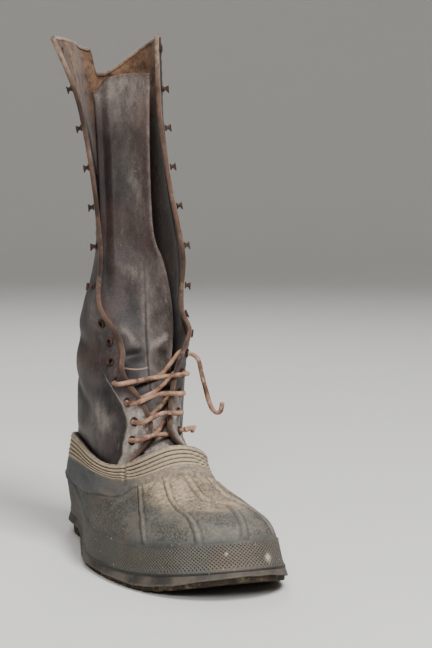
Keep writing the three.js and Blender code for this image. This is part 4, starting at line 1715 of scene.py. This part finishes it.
@dataclass
class FlapEdges:
    """The raw two-layer edges of the flaps and the rolled rim between them."""

    form: ShaftForm
    # Each point: across, out, and its share of painted shade, most in the groove between the two layers.
    profile: tuple[Triple, ...] = (
        (-1.3, -2.4, 0.3), (-1.55, -1.6, 0), (-1.6, -0.2, 0), (-1.35, 0.5, 0), (-0.9, 0.8, 0), (-0.4, 0.5, 0.5),
        (-0.1, -0.8, 1), (0.2, 0.5, 0.5), (0.7, 0.8, 0), (1.2, 0.5, 0), (1.5, -0.2, 0), (1.45, -1.6, 0),
        (1.3, -2.4, 0.3),
    )
    middle: float = -0.35
    spread: float = 1.2
    tip_from: float = 370
    foot_level: float = 0.06
    levels: int = 190
    columns: int = 200
    corner_steps: int = 7

    def leg(self, across: float, out: int) -> tuple[Array, Array, Array]:
        """The line up one flap's edge.

        Args:
            across: The edge's place across the shaft.
            out: The sign of its direction out of the leather.

        Returns:
            Points, normals and directions out of the leather.
        """
        levels = np.linspace(self.form.collar + self.foot_level, self.form.top, self.levels)
        point, normal, up = self.form.frame(np.array([across]), levels[None, :])
        return point[0], normal[0], unit(np.cross(up, normal))[0] * out

    def path(self) -> list[Array]:
        """The line up one edge, along the rim and down the other edge.

        Returns:
            Points, normals and directions out of the leather.
        """
        turns = np.linspace(0, 1, self.columns)
        rim = [a[:, 0] for a in self.form.frame(turns, np.full((self.columns, 1), float(self.form.top)))]
        legs = [self.leg(0.0, -1), rim, [a[::-1] for a in self.leg(1.0, 1)]]
        parts = legs[:1]
        for first, second in zip(legs, legs[1:]):
            turn = np.linspace(0, 1, self.corner_steps + 2)[1:-1, None]
            turned = [unit(first[k][-1] * (1 - turn) + second[k][0] * turn) for k in (1, 2)]
            parts += [[np.repeat(first[0][-1:], self.corner_steps, 0), *turned], second]
        return [np.concatenate([part[k] for part in parts]) for k in range(3)]

    def build(self, finish: Material) -> Piece:
        """Builds and dresses the edges.

        Args:
            finish: Its material.

        Returns:
            The piece.
        """
        point, normal, away = self.path()
        shape = np.array(self.profile + self.profile[:1])
        ragged = wobble(point, cell=6, seed=2.7)
        rows = []
        for across, out, _ in shape:
            lift = self.spread * across + self.middle + 0.15 * ragged[:, None]
            rows.append(point + normal * lift + away * (out + 0.25 * ragged[:, None]))
        points = np.stack(rows, 1)
        marks = {
            # Painted shade from the profile.
            "hollow_shade": np.broadcast_to(shape[:, 2], points.shape[:2]),
            "tip": smooth((points[..., 2] - self.tip_from) / 50),
        }
        return settle(shown(capped(Lattice(points, marks).bmesh()), "flap_edges", finish), Slot.LEATHER)


@dataclass
class Tongue:
    """The tongue: a bowed sheet of leather with rolled sides, a long crease and a sewn cross seam."""

    foot: FootForm
    wall: float = 2
    roll: float = 2.2
    rolled: float = 0.25
    fold_back: float = 4
    seam_z: float = 153
    levels: int = 210
    columns: int = 84
    rows: tuple[tuple[float, float, float, float, float], ...] = (
        (88, 161.5, 1.5, 16.5, 6), (104, 148.5, 3, 16, 7), (128, 140, 3, 20, 10), (152, 125, 4, 24, 11),
        (180, 111, 5, 30, 10), (210, 100, 6, 30, 8), (238, 95, 4, 27, 7), (265, 91, 1.5, 21.5, 6),
        (332, 87, 0, 21, 5), (394, 85, -1, 23, 5),
    )
    creases: tuple[Crease, ...] = (
        Crease((9, 240), (1, 134), 1.3, -0.9),
        Crease((6, 230), (-1.5, 134), 1.6, 0.7),
        Crease((-18, 186), (-6, 171), 4.5, 2.4),
        Crease((-17, 161), (-2, 163), 4, -3.0),
        Crease((5, 168), (27, 177), 3.5, 2.2),
        Crease((13, 165), (26, 159), 3, -2.2),
        Crease((12, 190), (28, 196), 6, -1.2),
        Crease((-16, 238), (4, 226), 5, 0.9),
        Crease((-12, 300), (-8, 236), 7, -1.0),
        Crease((4, 330), (8, 270), 8, 0.8),
    )

    def build(self, finish: Material, cut: Material) -> Piece:
        """Builds and dresses the tongue.

        Args:
            finish: Its material.
            cut: The material of its cut edges.

        Returns:
            The piece.
        """
        table = np.array(self.rows)
        at = np.linspace(0, len(table) - 1, self.levels)
        controls = np.concatenate([table, np.zeros((len(table), 1))], 1).reshape(len(table), 2, 3)
        smooth_rows = through(controls, np.tile(at, (2, 1)))
        z, station, offset = smooth_rows[0].T
        half, bow, _ = smooth_rows[1].T
        share = np.linspace(-1 - self.rolled, 1 + self.rolled, self.columns)[:, None]
        held = np.clip(share, -1, 1)
        angle = np.clip((np.abs(share) - 1) / self.rolled, 0, 1) * math.pi * 0.9
        side = offset + half * held + np.sign(share) * self.roll * np.sin(angle) * 0.8
        depth = station - bow * held ** 2 - self.roll * (1 - np.cos(angle))
        flat = np.stack(np.broadcast_arrays(half * held, z + 0 * share), -1)
        drop = sum(crease.drop(flat) for crease in self.creases)
        bare = self.foot.place(depth, side, z)
        slack = 0.8 * wobble(bare, cell=40, seed=7.7) + 0.3 * wobble(bare, cell=12, seed=3.3)
        inner = 1 - smooth((np.abs(share) - 0.8) / 0.25)
        fold = smooth((-held - 0.58) / 0.3) * smooth((z - 200) / 60)
        bare[..., 1] -= (drop + slack * 0.8 - 0.4) * inner - self.fold_back * fold
        corner = smooth((-held - 0.5) / 0.5) ** 2 * smooth((z - 360) / 34)
        bare[..., 2] += smooth((z - 380) / 14) * (3.5 * held - 1.5 + 2.5 * (1 - held ** 2)) - 9 * corner
        edge = bell(np.abs(share) - 1.05, 0.1) * (1 + 0 * z)
        lumps = 0.5 + 0.5 * wobble(bare, cell=24, seed=5.5)
        marks = {
            # Paler flecks, top and foot, with painted highlights on the crease ridges and along the right
            # rolled edge, and painted light low on the right side.
            "dust": np.clip(0.02 + 0.1 * lumps + 0.25 * np.maximum(0, drop) + 0.5 * edge * (share > 0)
                            + 0.35 * smooth((z - 335) / 60) + 0.8 * smooth((126 - z) / 14)
                            + 0.2 * smooth((held + 0.2) / 0.5) * smooth((255 - z) / 30), 0, 1),
            "wear": np.clip(0.35 * edge + smooth((z - 389) / 5) + 0 * share, 0, 1),
            "sewn": smooth((11 - np.abs(flat[..., 0] + 9)) / 2),
            # Painted shade in the crease troughs and on the rolled-back left fold.
            "hollow_shade": np.clip(-drop / 3.4 + 0.7 * fold * smooth((392 - z) / 60), 0, 0.85),
        }
        sag = 1.2 * np.sin(np.clip((flat[..., 0] + 19) / 20, 0, 1) * math.pi)
        flat = np.stack([flat[..., 1] - self.seam_z + sag, flat[..., 0]], -1)
        piece = shown(Lattice(bare, marks, flat).bmesh(), "tongue_sheet", finish, cut)
        face_along(piece, (0, -1, 0))
        thicken(piece, self.wall, rim=1)
        return settle(piece, Slot.TONGUE, "tongue")


@dataclass
class Gusset:
    """The slack leather fold that closes the throat's foot, from the tongue forward to the collar."""

    foot: FootForm
    wall: float = 1.4
    below: float = 5
    inset: float = 5
    sag: float = 4
    first: float = 0.335
    last: float = 0.672
    line: tuple[Triple, ...] = (
        (-26.8, 8.5, 76), (-23.5, -0.5, 81), (-17, -3.8, 86), (-9, -5.4, 89.5), (2, -4.4, 91), (12, -2.8, 90.5),
        (21, 0.6, 87.5), (29.5, 4.4, 83.5), (36.2, 6.5, 78.5),
    )
    columns: int = 120
    steps: int = 30
    full_width: float = 14

    def build(self, finish: Material, cut: Material) -> Piece:
        """Builds and dresses the gusset.

        Args:
            finish: Its material.
            cut: The material of its cut edges.

        Returns:
            The piece.
        """
        turns = np.linspace(self.first, self.last, self.columns)
        rim = self.foot.lift(turns, (self.foot.rise(turns) - self.below)[:, None], np.array(-self.inset))
        inner = along(np.array(self.line), self.columns)[:, None]
        share = np.linspace(0, 1, self.steps)[None, :, None]
        points = inner * (1 - share) + rim * share
        width = np.linalg.norm(rim - inner, axis=2)
        slack = np.sin(math.pi * share[..., 0] ** 0.7) * np.minimum(1, width / self.full_width)
        points[..., 2] -= slack * (self.sag + 0.9 * wobble(points, cell=16, seed=3.9))
        dust = np.clip(0.6 + 0.3 * wobble(points, cell=20, seed=1.3), 0, 1)
        # Painted shade where the fold sags.
        marks = {"dust": dust, "hollow_shade": 0.3 * slack}
        piece = shown(Lattice(points, marks).bmesh(), "throat_gusset", finish, cut)
        face_along(piece, (0, 0, 1))
        thicken(piece, self.wall, rim=1)
        return settle(piece, Slot.TONGUE)


@dataclass
class Fittings:
    """The eyelets and the lacing hooks up both sides of the throat."""

    form: ShaftForm
    rows: FittingRows
    eyelet_lift: float = 0.85
    hook_lift: float = 0.7
    eyelet_profile: tuple[Pair, ...] = (
        (2.2, -2.4), (2.2, 0.1), (2.4, 0.5), (2.8, 0.7), (3.3, 0.55), (3.7, 0.15), (3.8, -0.5), (2.55, -0.5),
        (2.55, -2.4),
    )
    hook_outline: tuple[Triple, ...] = (
        (-3.6, 0, 2.5), (3.6, 0, 2.5), (3.7, 0.9, 2.5), (1.4, 1.4, 1.5), (1.4, 2.7, 1.4), (4.2, 3.9, 3.2),
        (4.3, 5.0, 3.5), (-1.4, 3.8, 2.0), (-1.5, 1.4, 1.5), (-3.7, 0.9, 2.5),
    )
    hook_bevel: float = 0.35
    ring_steps: int = 20
    rivet: tuple[Pair, ...] = ((0.0, 1.75), (1.0, 1.65), (1.7, 1.3), (1.9, 0.9))

    def ring(self, made: Mesh, profile: tuple[Pair, ...], closed: bool) -> list[bmesh.types.BMVert]:
        """Spins a profile in millimetres into a ring at the origin and gives its points."""
        return spun(made, [(radius * MM, height * MM) for radius, height in profile], self.ring_steps, closed)

    def seat(self, made: Mesh, new: list[bmesh.types.BMVert], side: Side, z: float, lift: float) -> None:
        """Moves a fitting from the origin to its place on the eyestay."""
        matrix = self.form.fitting(self.rows.across(side), z, lift)
        bmesh.ops.transform(made, matrix=matrix, verts=new)

    def eyelets(self, finish: Material) -> Piece:
        """Builds and dresses all the eyelets.

        Args:
            finish: Their material.

        Returns:
            The piece.
        """
        made = bmesh.new()
        names = []
        for side in Side:
            for i, z in enumerate(self.rows.eyelet_heights(side)):
                new = self.ring(made, self.eyelet_profile, closed=True)
                self.seat(made, new, side, z, self.eyelet_lift)
                names.append(f"eyelet_{side.value}_{i + 1}")
        return settle(shown(outward(made), "eyelet_rings", finish), Slot.METAL, *names)

    def hook(self, made: Mesh, away: int) -> list[bmesh.types.BMVert]:
        """Adds one hook at the origin, a bent plate on a riveted foot.

        Args:
            made: The mesh that takes the hook.
            away: The sign of the side that it opens to.

        Returns:
            The hook's points.
        """
        before = set(made.verts)
        line = [made.verts.new((away * a * MM, -half * MM, o * MM)) for a, o, half in self.hook_outline]
        face = made.faces.new(line)
        grown = bmesh.ops.extrude_face_region(made, geom=[face])
        moved = [g for g in grown["geom"] if isinstance(g, bmesh.types.BMVert)]
        bmesh.ops.scale(made, vec=(1, -1, 1), verts=moved)
        new = [v for v in made.verts if v not in before]
        edges = list({e for v in new for e in v.link_edges})
        bmesh.ops.bevel(made, geom=edges, offset=self.hook_bevel * MM, offset_type="OFFSET", affect="EDGES",
                        segments=2, profile=0.5, material=-1)
        self.ring(made, self.rivet, closed=False)
        return [v for v in made.verts if v not in before]

    def hooks(self, finish: Material) -> Piece:
        """Builds and dresses all the hooks.

        Args:
            finish: Their material.

        Returns:
            The piece.
        """
        made = bmesh.new()
        names = []
        for side in Side:
            for i, z in enumerate(self.rows.hook_heights()):
                new = self.hook(made, -1 if side is Side.LATERAL else 1)
                self.seat(made, new, side, z, self.hook_lift)
                names.append(f"hook_{side.value}_{i + 1}")
        return settle(shown(outward(made), "lacing_hooks", finish), Slot.METAL, *names)


@dataclass
class Lace:
    """The rawhide lace: bars over the throat, runs behind it, a long free end and a frayed stub."""

    foot: FootForm
    form: ShaftForm
    rows: FittingRows
    radius: float = 1.9
    bars: int = 4
    lift: float = 4.1
    edge_lift: float = 2
    long_eyelet: int = 4
    long_end: tuple[Triple, ...] = (
        (136, 45, 159), (139, 47, 147), (142, 49.5, 134), (144, 52.5, 122), (146, 56.5, 116), (148, 60, 117),
        (149, 61.5, 125),
    )
    stub_end: tuple[Triple, ...] = ((150, 29.5, 104), (150.5, 33, 104.5), (150.5, 36, 103.5))
    sags: tuple[float, ...] = (2, 2, 3, 10)
    bows: tuple[float, ...] = (12, 5, 5, 5)
    arches: tuple[float, ...] = (1, 3.5, 3.5, 0.8)
    behind: Triple = (0.3, 0.55, 0.8)
    lateral_stops: Pair = (0.026, 0.004)
    medial_stops: Pair = (0.996, 0.976)
    dive_stops: Pair = (0.997, 0.984)
    dip: float = -2.0
    rest: float = 0.2
    end_rest: float = 0.3
    in_hole: float = 0.5
    flap_gap: float = 0.6
    sides: int = 14
    tail_points: int = 60
    run_points: int = 620
    end_round: float = 0.8
    fray_swell: float = 1.3
    fray_most: float = 2.2
    twist_length: float = 28

    def over(self, side: Side, z: float, more: float = 0, across: float | None = None) -> Array:
        """A point of the lace over the eyestay."""
        at = self.rows.across(side) if across is None else across
        return self.form.over(at, z, self.form.stay_step + self.lift + more)

    def tube(self, name: str, path: Array, finish: Material, frayed: bool = False) -> Piece:
        """Makes a lace of uneven, slightly square section along a path.

        Args:
            name: The piece's name.
            path: Evenly spaced points in millimetres.
            finish: Its material.
            frayed: Whether its far end is split and swollen.

        Returns:
            The piece.
        """
        tangent = unit(np.gradient(path, axis=0))
        normal = np.zeros_like(path)
        normal[0] = unit(np.cross(tangent[0], [0.3, 0.1, 1.0]))
        for i in range(1, len(path)):
            normal[i] = unit(normal[i - 1] - tangent[i] * (normal[i - 1] @ tangent[i]))
        other = np.cross(tangent, normal)
        angle = np.linspace(0, 2 * math.pi, self.sides + 1)[None, :]
        run = np.arange(len(path))[:, None] / max(1, len(path) - 1)
        length = run_along(path)[-1]
        twist = run * length / self.twist_length
        square = 1 - 0.07 * np.cos(4 * (angle + twist))
        lumps = 1 + 0.06 * np.sin(run * length / 2.6 + 2 * angle) * np.sin(run * length / 7.3)
        ends = np.clip(np.minimum(run, 1 - run) * length / self.end_round, 0, 1)
        size = self.radius * square * lumps * np.sqrt(1 - (1 - ends) ** 2)
        if frayed:
            split = 1 + smooth((run - 0.7) / 0.3) * (0.35 + 0.45 * np.sin(5 * angle) ** 2)
            size = self.fray_swell * size * split * np.where(run > 0.995, 0.3, 1)
        size = np.minimum(size, self.radius * self.fray_most)
        points = path[:, None] + size[..., None] * (
            np.cos(angle)[..., None] * normal[:, None] + np.sin(angle)[..., None] * other[:, None])
        points[:, -1] = points[:, 0]
        return shown(capped(Lattice(points).bmesh()), name, finish)

    def route(self) -> Array:
        """The laced part's route: from the long end's eyelet through the bars to the stub's eyelet.

        The lace runs behind the throat to a lateral eyelet and back over it as a bar, and the lowest bar
        dives under the medial flap.

        Returns:
            Route points.
        """
        inside = -self.form.wall - self.radius - self.flap_gap
        lateral, medial = self.rows.across(Side.LATERAL), self.rows.across(Side.MEDIAL)
        top = self.rows.eyelet_z(Side.MEDIAL, self.long_eyelet)
        points = [self.over(Side.MEDIAL, top, self.end_rest), self.form.over(medial, top, self.in_hole)]
        for i in range(self.bars - 1, -1, -1):
            low, high = self.rows.eyelet_z(Side.LATERAL, i), self.rows.eyelet_z(Side.MEDIAL, i)
            start = self.form.over(medial, self.rows.eyelet_z(Side.MEDIAL, i + 1), inside)
            end = self.form.over(lateral, low, inside)
            points.append(start)
            for share in self.behind:
                middle = start * (1 - share) + end * share
                middle[1] -= self.bows[i] * math.sin(math.pi * share ** 1.8)
                middle[2] -= self.sags[i] * math.sin(math.pi * share ** 0.7)
                points.append(middle)
            points += [end, self.over(Side.LATERAL, low, self.dip)]
            points.append(self.over(Side.LATERAL, low, self.rest, self.lateral_stops[0]))
            near = self.over(Side.LATERAL, low, self.edge_lift, self.lateral_stops[1])
            far = self.over(Side.MEDIAL, high, self.edge_lift, self.medial_stops[0])
            if i == 0:
                points += [near, near * 0.65 + far * 0.35 + np.array([0, 0, 1.5])]
                points += [self.form.over(stop, high, inside) for stop in self.dive_stops]
                points.append(self.form.over(medial, high, self.in_hole))
                points.append(self.over(Side.MEDIAL, high, self.end_rest))
                continue
            for share in (0.0, 0.5, 1.0):
                middle = near * (1 - share) + far * share
                middle[2] += self.arches[i] * math.sin(math.pi * share)
                points.append(middle)
            points.append(self.over(Side.MEDIAL, high, self.rest, self.medial_stops[1]))
            points.append(self.over(Side.MEDIAL, high, self.dip))
        return np.array(points)

    def tail(self, eyelet: int, rows: tuple[Triple, ...]) -> Array:
        """The path of an end of the lace, from over its eyelet."""
        start = self.over(Side.MEDIAL, self.rows.eyelet_z(Side.MEDIAL, eyelet), self.end_rest)
        return along(np.array([start] + [self.foot.place(*row) for row in rows]), self.tail_points)

    def build(self, finish: Material) -> None:
        """Builds and dresses the lace and logs the length of its free end.

        Args:
            finish: Its material.
        """
        path = self.tail(self.long_eyelet, self.long_end)
        length = float(run_along(path)[-1])
        free = self.tube("lace_tail_long", path, finish)
        settle(free, Slot.LACE, "lace_end_long")
        LOG.info("the free end is %.1f mm long", length)
        stub = self.tube("lace_tail_stub", self.tail(0, self.stub_end), finish, frayed=True)
        settle(stub, Slot.LACE, "lace_end_stub")
        run = self.tube("lace_run", along(self.route(), self.run_points), finish)
        settle(run, Slot.LACE, *[f"lace_bar_{i + 1}" for i in range(self.bars)])


@dataclass(frozen=True)
class Lamp:
    """One soft square light: its power in watts, its side and its place in metres."""

    name: str
    power: float
    side: float
    spot: Triple
    aim: Triple = (0, 0, 0.2)

    def build(self) -> None:
        """Sets up the light, facing the boot."""
        lamp = bpy.data.lights.new(self.name, "AREA")
        lamp.energy = self.power
        lamp.size = self.side
        item = bpy.data.objects.new(self.name, lamp)
        item.location = self.spot
        item.rotation_euler = (Vector(self.aim) - Vector(self.spot)).to_track_quat("-Z", "Y").to_euler()
        bpy.context.scene.collection.objects.link(item)


@dataclass
class Studio:
    """The pale floor that rises all round, soft lights and the camera at the photograph's angle."""

    lens: float = 97.3
    sensor: float = 36
    near: float = 0.01
    eye: Triple = (-0.4680, -1.3212, 0.3163)
    yaw: float = 21.45
    pitch: float = 5.07
    flat_radii: tuple[float, ...] = (0.0, 1.5, 3.5)
    rim_radius: float = 2.2
    rim_steps: int = 12
    wall_top: float = 4.5
    floor_steps: int = 72
    sky: tuple[float, float, float, float] = (0.95, 0.94, 0.93, 1)
    sky_strength: float = 0.22
    lamps: tuple[Lamp, ...] = (
        Lamp("key", 86, 0.9, (0.4, -1.45, 2.3)),
        Lamp("fill", 38, 0.8, (-0.9, -1.95, 1.4)),
        Lamp("back", 26, 1.2, (0.4, 1.7, 2.0)),
    )

    def floor(self, finish: Material) -> None:
        """Spins the floor and its rising rim.

        Args:
            finish: Its material.
        """
        made = bmesh.new()
        reach = self.flat_radii[-1]
        profile = [(radius, 0.0) for radius in self.flat_radii]
        for i in range(1, self.rim_steps + 1):
            angle = i / self.rim_steps * math.pi / 2
            profile.append((reach + self.rim_radius * math.sin(angle), self.rim_radius * (1 - math.cos(angle))))
        profile.append((reach + self.rim_radius, self.wall_top))
        spun(made, profile, self.floor_steps)
        shown(outward(made), "floor", finish)

    def camera(self) -> None:
        """Sets the camera at the photograph's angle."""
        camera = bpy.data.cameras.new("camera")
        camera.lens = self.lens
        camera.sensor_width = self.sensor
        camera.clip_start = self.near
        item = bpy.data.objects.new("camera", camera)
        item.location = self.eye
        item.rotation_euler = (math.radians(90 - self.pitch), 0, math.radians(-self.yaw))
        bpy.context.scene.collection.objects.link(item)
        bpy.context.scene.camera = item

    def build(self, finish: Material) -> None:
        """Sets the floor, lights, world and camera.

        Args:
            finish: The floor's material.
        """
        self.floor(finish)
        for lamp in self.lamps:
            lamp.build()
        world = bpy.data.worlds.new("studio")
        world.use_nodes = True
        back = world.node_tree.nodes["Background"]
        back.inputs["Color"].default_value = self.sky
        back.inputs["Strength"].default_value = self.sky_strength
        bpy.context.scene.world = world
        self.camera()


def main() -> None:
    """Builds the boot's pieces in order."""
    logging.basicConfig(level=logging.INFO, format="%(message)s")
    foot = FootForm()
    shaft = ShaftForm(foot)
    rows = FittingRows(shaft)
    Studio().build(PaleFinish().material())
    Lace(foot, shaft, rows).build(RawhideFinish().material())
    leather = LeatherFinish("shaft_leather", "0b0708", "33272d", "452f28", "bdb2a9", seam=19.0, dash=4.2)
    tongue = LeatherFinish("tongue_leather", "0b0707", "2f2424", "48312a", "a0938a", thread="8d6a58", seam=0.0)
    lining = SuedeFinish("shaft_lining", "221610", "442f23", "5e432f", "7b5d45")
    cut = SuedeFinish("raw_edge", "2f221b", "654d40", "8a7667", "9a8270", 700)
    felt = SuedeFinish("felt", "3b332a", "5f5444", "7a6d58", "7a6d58", 650)
    cut_edge = cut.material()
    Outsole(foot).build(SoleFinish().material())
    RubberBottom(foot).build(RubberFinish().material())
    Insole(foot).build(felt.material())
    LeatherShaft(shaft, rows).build(leather.material(), lining.material(), cut_edge)
    FlapEdges(shaft).build(cut_edge)
    soft = tongue.material()
    Tongue(foot).build(soft, cut_edge)
    Gusset(foot).build(soft, cut_edge)
    fittings = Fittings(shaft, rows)
    rust = RustFinish().material()
    fittings.eyelets(rust)
    fittings.hooks(rust)
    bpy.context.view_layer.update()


if __name__ == "__main__":
    main()
